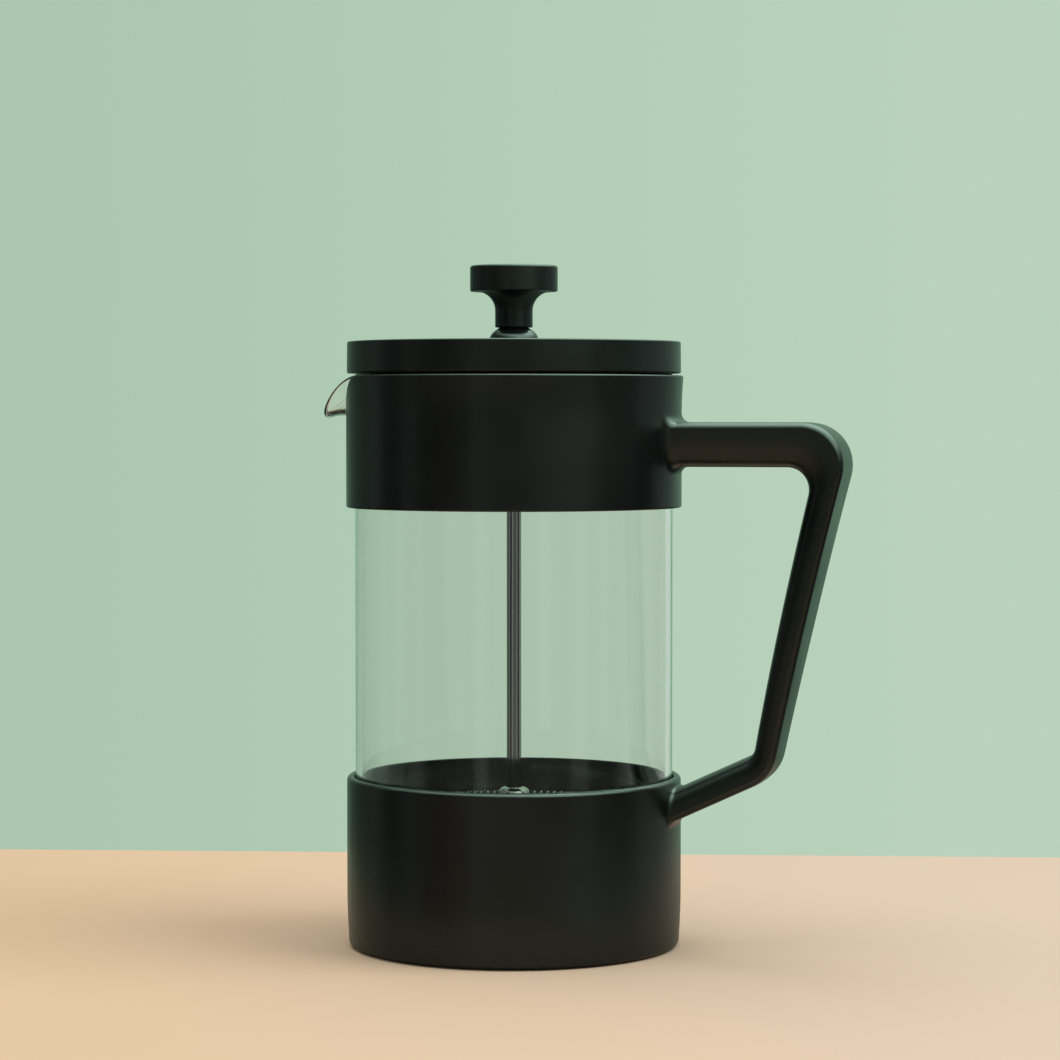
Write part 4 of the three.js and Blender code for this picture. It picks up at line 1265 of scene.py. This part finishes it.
# %% Satin polypropylene
GRAIN = 0.5 * MM                  # drawn twice as coarse as the real one
GRAIN_DEPTH = 0.03 * MM
POLISH_PATCH = 30 * MM
POLISH = 0.05                     # how far the roughness strays to both sides
NOISE_RANGE = {"From Min": 0.3, "From Max": 0.7}       # where most of a noise lies
WORN_STRETCH = 1.6 * MM
WORN_PART = {"From Min": 0.5, "From Max": 0.7}         # only where the noise is high
SHARP_EDGE = {"From Min": 0.515, "From Max": 0.56}     # the pointiness of a flat face is 0.5
RUBBED = "#39413E"                # an edge where handling has rubbed it paler
PLASTICS = (                      # name, shade, the shade of slow patches, roughness, pieces
    ("satin_polypropylene_frame", "#06090A", "#0C1010", 0.3, (base_cup, collar)),
    ("satin_polypropylene_lid", "#060A09", "#0B100F", 0.31, (lid_cap, strainer, guide_nut)),
    ("matt_polypropylene_knob", "#060A09", "#0B100F", 0.37, (knob,)),
    ("polished_polypropylene_grip", "#070B0A", "#0D1211", 0.31, (handle,)),
)


def satin_polypropylene(name, shade, patch_shade, roughness):
    """Black plastic: grain as a bump, slow patches in the roughness, faint ones in the shade.

    Wear = sharpness of the edge * coarse noise: the edges are rubbed paler in short stretches."""
    finish, tree, shader, place = new_finish(name, IOR=1.49)
    grain, patch, stretch = (
        add_node(tree, "ShaderNodeTexNoise", {"Scale": 1 / size, "Detail": detail},
                 {"Vector": place})
        for size, detail in ((GRAIN, 2.0), (POLISH_PATCH, 4.0), (WORN_STRETCH, 3.0))
    )
    gloss = add_node(
        tree, "ShaderNodeMapRange",
        {**NOISE_RANGE, "To Min": roughness - POLISH, "To Max": roughness + POLISH},
        {"Value": patch},
    )
    tint = add_node(
        tree, "ShaderNodeMix",
        {"data_type": "RGBA", 6: linear(shade), 7: linear(patch_shade)}, {0: patch},
    )
    pointiness = add_node(tree, "ShaderNodeNewGeometry").outputs["Pointiness"]
    edge = add_node(tree, "ShaderNodeMapRange", SHARP_EDGE, {"Value": pointiness})
    rubbed = add_node(tree, "ShaderNodeMapRange", WORN_PART, {"Value": stretch})
    wear = add_node(tree, "ShaderNodeMath", {"operation": "MULTIPLY"}, {0: edge, 1: rubbed})
    worn = add_node(tree, "ShaderNodeMix", {"data_type": "RGBA", 7: linear(RUBBED)},
                    {0: wear, 6: tint})
    bump = add_node(tree, "ShaderNodeBump", {"Strength": 0.25, "Distance": GRAIN_DEPTH},
                    {"Height": grain})
    join(shader, {"Base Color": worn, "Roughness": gloss, "Normal": bump})
    return finish


for *look, pieces in PLASTICS:
    dress(satin_polypropylene(*look), *pieces)
print(len(PLASTICS), "plastics, with a grain of", GRAIN / MM, "mm")

# %% [markdown]
# ## Gloss acetal and silicone
# The rod's guide is acetal from a polished mould: the same black, but it mirrors the room. The
# pad and the ring are silicone rubber, dark grey and quite matt, with a powdery surface.

# %% Gloss acetal and silicone rubber
WIPING = 0.5 * MM
POWDER = 0.8 * MM
POWDER_DEPTH = 0.05 * MM


def gloss_acetal():
    """Polished black plastic whose roughness varies a little, as from the rod's wiping."""
    finish, tree, shader, place = new_finish(
        "polished_acetal", IOR=1.48, Base_Color=linear("#0F1112"),
    )
    wiping = add_node(tree, "ShaderNodeTexNoise", {"Scale": 1 / WIPING, "Detail": 3.0},
                      {"Vector": place})
    gloss = add_node(tree, "ShaderNodeMapRange", {"To Min": 0.2, "To Max": 0.26},
                     {"Value": wiping})
    join(shader, {"Roughness": gloss})
    return finish


def silicone_rubber():
    """Dark grey rubber: two greys mixed by a fine noise, which also drives a slight bump."""
    finish, tree, shader, place = new_finish("silicone_rubber", IOR=1.41)
    powder = add_node(tree, "ShaderNodeTexNoise", {"Scale": 1 / POWDER, "Detail": 3.0},
                      {"Vector": place})
    tint = add_node(
        tree, "ShaderNodeMix",
        {"data_type": "RGBA", 6: linear("#2A2C2C"), 7: linear("#363838")}, {0: powder},
    )
    gloss = add_node(tree, "ShaderNodeMapRange", {"To Min": 0.62, "To Max": 0.8},
                     {"Value": powder})
    bump = add_node(tree, "ShaderNodeBump", {"Strength": 0.3, "Distance": POWDER_DEPTH},
                    {"Height": powder})
    join(shader, {"Base Color": tint, "Roughness": gloss, "Normal": bump})
    return finish


dress(gloss_acetal(), rod_guide)
dress(silicone_rubber(), foot_pad, seat_ring)

# %% [markdown]
# ## Borosilicate glass
# Blown glass is clear and smooth, with slow ripples up the wall where it was drawn, and a
# trace of green that shows only where one looks along the wall. The shader is plain glass with
# an index of 1.473; a noise stretched along Z gives the ripples. For lamp rays the glass is
# made see-through, so that the steel inside is lit cleanly.

# %% Borosilicate glass
RIPPLE = 9 * MM                   # width of one ripple round the wall
RIPPLE_LENGTH = 90 * MM
RIPPLE_DEPTH = 0.12 * MM


def borosilicate_glass():
    """Clear glass with drawn ripples; lamp rays pass straight through a faint tint."""
    finish, tree, shader, place = new_finish(
        "borosilicate_glass", IOR=1.473, Roughness=0.0, Transmission_Weight=1.0,
        Base_Color=linear("#FFFEFD"),
    )
    stretched = add_node(
        tree, "ShaderNodeMapping", {"Scale": (1 / RIPPLE, 1 / RIPPLE, 1 / RIPPLE_LENGTH)},
        {"Vector": place},
    )
    ripple = add_node(tree, "ShaderNodeTexNoise", {"Scale": 1.0, "Detail": 1.0},
                      {"Vector": stretched})
    bump = add_node(tree, "ShaderNodeBump", {"Strength": 0.3, "Distance": RIPPLE_DEPTH},
                    {"Height": ripple})
    join(shader, {"Normal": bump})
    lamp_ray = add_node(tree, "ShaderNodeLightPath").outputs["Is Shadow Ray"]
    clear = add_node(tree, "ShaderNodeBsdfTransparent", {"Color": linear("#F0F7F3")})
    lamp_or_glass = add_node(tree, "ShaderNodeMixShader", None, {0: lamp_ray, 1: shader, 2: clear})
    join(tree.nodes["Material Output"], {"Surface": lamp_or_glass})
    return finish


dress(borosilicate_glass(), beaker)

# %% [markdown]
# ## Steel, mesh and brass
# Stainless steel is a warm light grey. The rod and the hub are drawn and polished, with faint
# lines along them; the plates are pressed from sheet with a soft even sheen; the coil is
# bright spring wire. The insert in the knob is turned brass, whose fine lines run round it. The
# mesh is woven from wire of a fifth of a millimetre; its crossings are two sets of waves at
# right angles, drawn at one millimetre so that they show, and the gaps between them are
# darkened by a painted shade.

# %% Stainless steel and brass
LINE_DEPTH = 0.01 * MM
METALS = (                        # name, shade, roughness from and to, a line's width and height
    ("drawn_stainless", "#C9C6C1", 0.05, 0.14, 0.3 * MM, 60 * MM, (rod, washer, hub, end_nut)),
    ("pressed_stainless", "#C2C1BD", 0.22, 0.34, 1.5 * MM, 1.5 * MM, (plate, cross)),
    ("spring_wire", "#CDCBC6", 0.10, 0.2, 0.6 * MM, 0.6 * MM, (coil,)),
    ("turned_brass", "#C8A861", 0.2, 0.35, 3 * MM, 0.3 * MM, (insert,)),
)


def lined_metal(name, shade, low, high, line, length):
    """Metal whose roughness runs from low to high in lines of one width and length along Z."""
    finish, tree, shader, place = new_finish(name, Metallic=1.0, Base_Color=linear(shade))
    drawn = add_node(tree, "ShaderNodeMapping", {"Scale": (1 / line, 1 / line, 1 / length)},
                     {"Vector": place})
    lines = add_node(tree, "ShaderNodeTexNoise", {"Scale": 1.0, "Detail": 3.0},
                     {"Vector": drawn})
    gloss = add_node(tree, "ShaderNodeMapRange", {**NOISE_RANGE, "To Min": low, "To Max": high},
                     {"Value": lines})
    bump = add_node(tree, "ShaderNodeBump", {"Strength": 0.1, "Distance": LINE_DEPTH},
                    {"Height": lines})
    join(shader, {"Roughness": gloss, "Normal": bump})
    return finish


for *look, pieces in METALS:
    dress(lined_metal(*look), *pieces)
print(len(METALS), "metals with lines")

# %% Woven mesh
WEAVE = 1.0 * MM                  # drawn at five times the real spacing
WEAVE_DEPTH = 0.15 * MM


def woven_stainless_painted_gaps():
    """Over and under: the product of two sine waves is high at each crossing. It darkens the
    gaps with a painted shade, lifts the crossings and roughens what lies between."""
    finish, tree, shader, place = new_finish("woven_stainless_painted_gaps", Metallic=1.0)
    axes = add_node(tree, "ShaderNodeSeparateXYZ", None, {0: place})
    waves = []
    for axis in ("X", "Y"):
        turn = add_node(tree, "ShaderNodeMath", {"operation": "MULTIPLY", 1: 2 * math.pi / WEAVE},
                        {0: axes.outputs[axis]})
        waves.append(add_node(tree, "ShaderNodeMath", {"operation": "SINE"}, {0: turn}))
    crossing = add_node(tree, "ShaderNodeMath", {"operation": "MULTIPLY"},
                        {0: waves[0], 1: waves[1]})
    level = add_node(tree, "ShaderNodeMapRange", {"From Min": -1.0, "From Max": 1.0},
                     {"Value": crossing})
    # painted shade: the gaps are darker than the steel of the crossings
    tint = add_node(
        tree, "ShaderNodeMix",
        {"data_type": "RGBA", 6: linear("#4E4D4B"), 7: linear("#C4C2BD")}, {0: level},
    )
    gloss = add_node(tree, "ShaderNodeMapRange", {"To Min": 0.5, "To Max": 0.25},
                     {"Value": level})
    bump = add_node(tree, "ShaderNodeBump", {"Strength": 0.6, "Distance": WEAVE_DEPTH},
                    {"Height": level})
    join(shader, {"Base Color": tint, "Roughness": gloss, "Normal": bump})
    return finish


dress(woven_stainless_painted_gaps(), mesh)

# %% [markdown]
# ## The table
# The press stands near the far edge of a pale table. Its colour shifts from left to right as a
# painted light, in place of the light across it. Black plastic shows what it mirrors far more
# than what it is lit by, and a long pale table would turn it brown. So a mirrored ray meets the
# table only in a pool round a point behind the object, and the table it meets there is darkened
# by a painted shade.

# %% Table
TABLE_BEHIND = 206 * MM           # from the axis to the table's far edge
TABLE_WIDTH = 1800 * MM
TABLE_DEPTH = 1400 * MM
TABLE_THICKNESS = 30 * MM
TABLE_TURN = math.radians(3.5)    # its left end lies farther from the camera
# painted light: the table's colour shifts from left to right as the light across it does
PAINTED_LIGHT_LEFT = "#DEC19F"
PAINTED_LIGHT_RIGHT = "#D7C3AC"
PAINTED_LIGHT_SPREAD = 150 * MM           # to each side, over which one turns into the other
POOL_RIGHT = 30 * MM              # where a mirrored ray still meets the table
POOL_BEHIND = 80 * MM
POOL_INSIDE = 110 * MM
POOL_OUTSIDE = 230 * MM
POOL_LOSS = 0.1                   # share of the mirrored rays that pass through it everywhere
# painted shade: mirrored rays see the table darker than it is
MIRRORED_TABLE_SHADE = "#1E1812"
MIRRORED_DIMMER = 0.35            # share of that shade in the paint which mirrored rays meet
ANY = 0.5                         # a count of mirrorings above this is one or more

view_forward = np.array([-math.sin(azimuth), math.cos(azimuth), 0])
view_right = np.array([math.cos(azimuth), math.sin(azimuth), 0])


def table_surface():
    """A slab: the eight corners of a box, set square to the camera's view, then turned."""
    signs = np.array([(x, y, z) for z in (0, 1) for x, y in ((-1, 0), (1, 0), (1, 1), (-1, 1))])
    turn = np.array([[math.cos(TABLE_TURN), -math.sin(TABLE_TURN)],
                     [math.sin(TABLE_TURN), math.cos(TABLE_TURN)]])
    right, forward = turn @ np.stack([view_right, view_forward])
    across = signs[:, :1] * TABLE_WIDTH / 2 * right
    along = (TABLE_BEHIND - signs[:, 1:2] * TABLE_DEPTH) * forward
    down = -signs[:, 2:] * TABLE_THICKNESS * np.array([[0, 0, 1]])
    faces = [(3, 2, 1, 0), (4, 5, 6, 7), (0, 1, 5, 4), (1, 2, 6, 5), (2, 3, 7, 6), (3, 0, 4, 7)]
    return across + along + down, faces


table_points, table_faces = table_surface()
table_mesh = bpy.data.meshes.new("table")
table_mesh.from_pydata(table_points.tolist(), [], table_faces)
table = bpy.data.objects.new("table", table_mesh)
bpy.context.scene.collection.objects.link(table)


def table_paint_with_painted_light():
    """Matt paint from one shade to another along the camera's right, which is painted light. To a
    mirrored ray it is darker by a painted shade, and it fades into nothing with the distance from
    the pool's middle."""
    finish, tree, shader, place = new_finish("table_paint_with_painted_light", Roughness=0.6, Specular_IOR_Level=0.0)
    to_right = add_node(tree, "ShaderNodeVectorMath",
                        {"operation": "DOT_PRODUCT", 1: view_right.tolist()}, {0: place})
    across = add_node(tree, "ShaderNodeMapRange",
                      {"From Min": -PAINTED_LIGHT_SPREAD, "From Max": PAINTED_LIGHT_SPREAD}, {"Value": to_right})
    # painted light: one shade on the left turns into another on the right
    paint = add_node(
        tree, "ShaderNodeMix",
        {"data_type": "RGBA", 6: linear(PAINTED_LIGHT_LEFT), 7: linear(PAINTED_LIGHT_RIGHT)}, {0: across},
    )
    pool = POOL_RIGHT * view_right + POOL_BEHIND * view_forward
    distance = add_node(tree, "ShaderNodeVectorMath",
                        {"operation": "DISTANCE", 1: pool.tolist()}, {0: place})
    beyond = add_node(
        tree, "ShaderNodeMapRange",
        {"From Min": POOL_INSIDE, "From Max": POOL_OUTSIDE, "To Min": POOL_LOSS},
        {"Value": distance},
    )
    bounces = add_node(tree, "ShaderNodeLightPath").outputs["Glossy Depth"]
    mirrored = add_node(tree, "ShaderNodeMath", {"operation": "GREATER_THAN", 1: ANY},
                        {0: bounces})
    dimmed = add_node(tree, "ShaderNodeMath", {"operation": "MULTIPLY", 1: MIRRORED_DIMMER},
                      {0: mirrored})
    # painted shade: the table's colour as mirrored rays meet it
    shade = add_node(tree, "ShaderNodeMix", {"data_type": "RGBA", 7: linear(MIRRORED_TABLE_SHADE)},
                     {0: dimmed, 6: paint})
    join(shader, {"Base Color": shade})
    amount = add_node(tree, "ShaderNodeMath", {"operation": "MULTIPLY"},
                      {0: beyond, 1: mirrored})
    nothing = add_node(tree, "ShaderNodeBsdfTransparent")
    table_or_room = add_node(tree, "ShaderNodeMixShader", None,
                             {0: amount, 1: shader, 2: nothing})
    join(tree.nodes["Material Output"], {"Surface": table_or_room})
    return finish


dress(table_paint_with_painted_light(), table)
print("The table is", round(TABLE_WIDTH, 2), "m wide and reaches", round(TABLE_BEHIND / MM),
      "mm behind the axis")

# %% [markdown]
# ## The world
# The pale wall behind the press is only a colour of the world. The same world is the room that
# the black plastic mirrors: behind the camera it is dark, apart from tall windows that draw
# upright streaks, and behind the object it has the wall's colour. A lamp for each window would
# light the table too; here the world looks at what kind of ray it meets, so each kind can be
# given what it needs.

# %% Shades of the room
WALL_LEFT = "#ABC7B0"
WALL_RIGHT = "#BAD2BC"
WALL_SPREAD = 0.13                # part of the view's width over which one turns into the other
FAR_WALL = "#90BA9C"              # the wall where only mirrored rays meet it
FLOOR_SHADE = "#181715"
TABLE_LIGHT = "#D0B898"           # the pale table, as rays mirrored steeply down and back meet it
EDGE_LEFT = "#B0CCB6"             # the wall as rays mirrored inside the glass meet it
EDGE_RIGHT = "#D2E0D4"
AMBIENT = 0.42                    # what matt surfaces are lit with from all sides
LIGHT_TINT = "#C9EDDA"
ROOM = (                          # degrees round from the camera to its right, and the shade
    (-168, FAR_WALL), (-148, "#5D7867"), (-120, "#4C5C53"), (-111, "#869590"),
    (-106, "#869590"), (-102, "#353B39"), (-84, "#353B39"), (-79, "#7C8985"),
    (-71, "#7C8985"), (-66, "#353B39"), (-58, "#2B302F"), (-45, "#2B302F"),
    (-40, "#3C4341"), (-31, "#3C4341"), (-26, "#93A59E"), (-21, "#93A59E"),
    (-17, "#5B6661"), (8, "#4F5855"), (24, "#5A635F"), (39, "#4A524F"), (43, "#829189"),
    (54, "#829189"), (58, "#3C4341"), (90, "#48504D"), (96, "#869590"), (106, "#869590"),
    (112, "#6C7773"), (116, "#7C8985"), (134, "#869590"), (146, FAR_WALL),
)
FACING = {"From Min": -0.1, "From Max": 0.9}       # from beside the camera to straight at it
FLOOR_LINE = {"From Min": -0.36, "From Max": -0.06}    # a little below the level of the object
SOFTLY = {"interpolation_type": "SMOOTHSTEP"}


def mirrored_room(tree, back, right, up):
    """Upright bands of shades that follow the ray's angle, atan2(to the right, back to the
    camera). Below they turn into a dark floor, or into the pale table where the ray comes
    back."""
    angle = add_node(tree, "ShaderNodeMath", {"operation": "ARCTAN2"}, {0: right, 1: back})
    place = add_node(tree, "ShaderNodeMapRange", {"From Min": -math.pi, "From Max": math.pi},
                     {"Value": angle})
    bands = add_node(tree, "ShaderNodeValToRGB", None, {0: place})
    stops = bands.color_ramp.elements
    stops.remove(stops[1])
    for number, (degrees, shade) in enumerate(ROOM):
        position = (degrees + 180) / 360
        stop = stops.new(position) if number else stops[0]
        stop.position = position
        stop.color = linear(shade)
    facing = add_node(tree, "ShaderNodeMapRange", {**SOFTLY, **FACING}, {"Value": back})
    floor = add_node(
        tree, "ShaderNodeMix",
        {"data_type": "RGBA", 6: linear(FLOOR_SHADE), 7: linear(TABLE_LIGHT)}, {0: facing},
    )
    level = add_node(tree, "ShaderNodeMapRange", {**SOFTLY, **FLOOR_LINE}, {"Value": up})
    return add_node(tree, "ShaderNodeMix", {"data_type": "RGBA"}, {0: level, 6: floor, 7: bands})


# %% [markdown]
# ## The room's two lights
# The glossy dome, the rod and the knob's edge each show a soft highlight, from the sky and from
# one bright window. Both could be lamps, but a lamp's outline shows sharply in gloss. As a part
# of the room each fades out softly, and it can be kept from rays that come through the glass.

# %% Lights of the room
SKY = {"towards": (0.25, 0.05, 0.97), "strength": 11, "begins": 0.3, "full": 1.0, "power": 2.0}
WINDOW = {"towards": (0.49, 0.56, 0.67), "strength": 6, "begins": 0.86, "full": 0.95, "power": 1.0}
ABOVE = {"From Min": 0.1, "From Max": 0.5}         # both stand above the level of the object
IN_BEAKER = {"From Min": 2.5, "From Max": 4.0}     # skins of glass that a ray has passed
THROUGH_GLASS = 0.08              # what rays from inside the beaker see of the two lights


def bright(amount):
    """The colour of a light area, so many times as bright as a white wall."""
    return (*(amount * np.array(linear(LIGHT_TINT)[:3])).tolist(), 1.0)


def lit_room(tree, room, direction, up, passed):
    """The room with two soft lights, whose directions are given towards the right, the camera
    and up.

    Each grows to its full strength with a power of the product of the ray's direction and its
    own. The lights are full for a ray that has passed no skin of glass and gone for one that
    has; from inside the beaker they are faint."""
    outside = add_node(tree, "ShaderNodeMapRange", {"From Min": 1.0, "From Max": 0.0},
                       {"Value": passed})
    within = add_node(tree, "ShaderNodeMapRange", {**IN_BEAKER, "To Max": THROUGH_GLASS},
                      {"Value": passed})
    clear = add_node(tree, "ShaderNodeMath", {"operation": "ADD"}, {0: outside, 1: within})
    high = add_node(tree, "ShaderNodeMapRange", {**SOFTLY, **ABOVE}, {"Value": up})
    lit = add_node(tree, "ShaderNodeMath", {"operation": "MULTIPLY"}, {0: high, 1: clear})
    for light in (SKY, WINDOW):
        to_right, to_camera, height = light["towards"]
        flat = to_right * view_right - to_camera * view_forward
        towards = add_node(tree, "ShaderNodeVectorMath",
                           {"operation": "DOT_PRODUCT", 1: (*flat[:2].tolist(), height)},
                           {0: direction})
        near = add_node(tree, "ShaderNodeMapRange",
                        {"From Min": light["begins"], "From Max": light["full"]},
                        {"Value": towards})
        shape = add_node(tree, "ShaderNodeMath", {"operation": "POWER", 1: light["power"]},
                         {0: near})
        amount = add_node(tree, "ShaderNodeMath", {"operation": "MULTIPLY"}, {0: shape, 1: lit})
        room = add_node(tree, "ShaderNodeMix", {"data_type": "RGBA", 7: bright(light["strength"])},
                        {0: amount, 6: room})
    return room


# %% [markdown]
# ## What each kind of ray meets
# Last, the world is put together. A ray that is mirrored inside the wall of the beaker meets
# a lighter wall than others do, which draws the pale lines along the glass's left and right.

# %% World
PASSED_ONCE = {1: 1.5, 2: 1.0}    # one or two skins of glass: the middle and how far from it
SIDEWAYS = 0.8
BEHIND = 0.6
ASIDE = {"From Min": 0.65, "From Max": 0.85}


def beside_glass(tree, back, right, passed):
    """1 for a ray that was mirrored inside the glass and leaves it to either side and behind.

    It has passed one or two skins, and |to the right| * SIDEWAYS - back to the camera * BEHIND
    is large."""
    once = add_node(tree, "ShaderNodeMath", {"operation": "COMPARE", **PASSED_ONCE}, {0: passed})
    to_side = add_node(tree, "ShaderNodeMath", {"operation": "ABSOLUTE"}, {0: right})
    behind = add_node(tree, "ShaderNodeMath", {"operation": "MULTIPLY", 1: -BEHIND}, {0: back})
    sideways = add_node(tree, "ShaderNodeMath", {"operation": "MULTIPLY_ADD", 1: SIDEWAYS},
                        {0: to_side, 2: behind})
    aside = add_node(tree, "ShaderNodeMapRange", ASIDE, {"Value": sideways})
    return add_node(tree, "ShaderNodeMath", {"operation": "MULTIPLY"}, {0: once, 1: aside})


def studio_world():
    """What a ray that leaves the scene meets.

    Seen directly or through glass it is the wall, a little lighter to the right. A mirrored
    ray meets the room with its lights, or a lighter wall where it was mirrored inside the
    glass. A ray from a matt surface meets a soft neutral light."""
    world = bpy.data.worlds.new("studio")
    world.use_nodes = True
    tree = world.node_tree
    direction = add_node(tree, "ShaderNodeTexCoord").outputs["Generated"]
    back, right, up = (
        add_node(tree, "ShaderNodeVectorMath", {"operation": "DOT_PRODUCT", 1: axis},
                 {0: direction})
        for axis in ((-view_forward).tolist(), view_right.tolist(), (0, 0, 1))
    )
    path = add_node(tree, "ShaderNodeLightPath")
    passed = path.outputs["Transmission Depth"]
    room = lit_room(tree, mirrored_room(tree, back, right, up), direction, up, passed)
    across = add_node(tree, "ShaderNodeMapRange",
                      {"From Min": -WALL_SPREAD, "From Max": WALL_SPREAD}, {"Value": right})
    wall, edge = (
        add_node(tree, "ShaderNodeMix",
                 {"data_type": "RGBA", 6: linear(left_shade), 7: linear(right_shade)},
                 {0: across})
        for left_shade, right_shade in ((WALL_LEFT, WALL_RIGHT), (EDGE_LEFT, EDGE_RIGHT))
    )
    met = add_node(tree, "ShaderNodeMix", {"data_type": "RGBA"},
                   {0: beside_glass(tree, back, right, passed), 6: room, 7: edge})
    glossy = add_node(tree, "ShaderNodeMath", {"operation": "GREATER_THAN", 1: ANY},
                      {0: path.outputs["Glossy Depth"]})
    seen = add_node(tree, "ShaderNodeMix", {"data_type": "RGBA"}, {0: glossy, 6: wall, 7: met})
    shown = add_node(tree, "ShaderNodeMix",
                     {"data_type": "RGBA", 7: (AMBIENT, AMBIENT, AMBIENT, 1)},
                     {0: path.outputs["Is Diffuse Ray"], 6: seen})
    join(tree.nodes["Background"], {"Color": shown})
    return world


world = studio_world()
bpy.context.scene.world = world
print("The room has", len(ROOM), "shades, and the world", len(world.node_tree.nodes), "nodes")

# %% [markdown]
# ## The lamps
# Two large soft lamps light the table and the matt surfaces, one overhead and one high to the
# right, so that the press throws a soft shadow. Mirrored rays don't see them, because the room
# has its own lights.

# %% Lamps
LAMP_TARGET = Vector((0, 0, 100 * MM))
LAMPS = (                         # name, place to the right, forward and up, width, watts
    ("overhead_softbox", -0.1, 0.1, 1.3, 1.2, 9),
    ("right_softbox", 0.8, -0.28, 1.15, 0.9, 9),
)


def soft_lamp(name, right, forward, height, width, power):
    """A square lamp at a place given by the camera's right, its forward and the height, turned
    to a point on the object's axis."""
    lamp = bpy.data.objects.new(name, bpy.data.lights.new(name, "AREA"))
    lamp.data.shape = "RECTANGLE"
    lamp.data.size = width
    lamp.data.size_y = width
    lamp.data.energy = power
    place = Vector(right * view_right + forward * view_forward) + Vector((0, 0, height))
    lamp.location = place
    lamp.rotation_euler = (LAMP_TARGET - place).to_track_quat("-Z", "Y").to_euler()
    lamp.visible_camera = False
    lamp.visible_transmission = False
    lamp.visible_glossy = False
    bpy.context.scene.collection.objects.link(lamp)
    print(name, "stands", round(place.length, 2), "m from the middle of the base")


for lamp_settings in LAMPS:
    soft_lamp(*lamp_settings)

bpy.context.scene.view_settings.view_transform = "Standard"
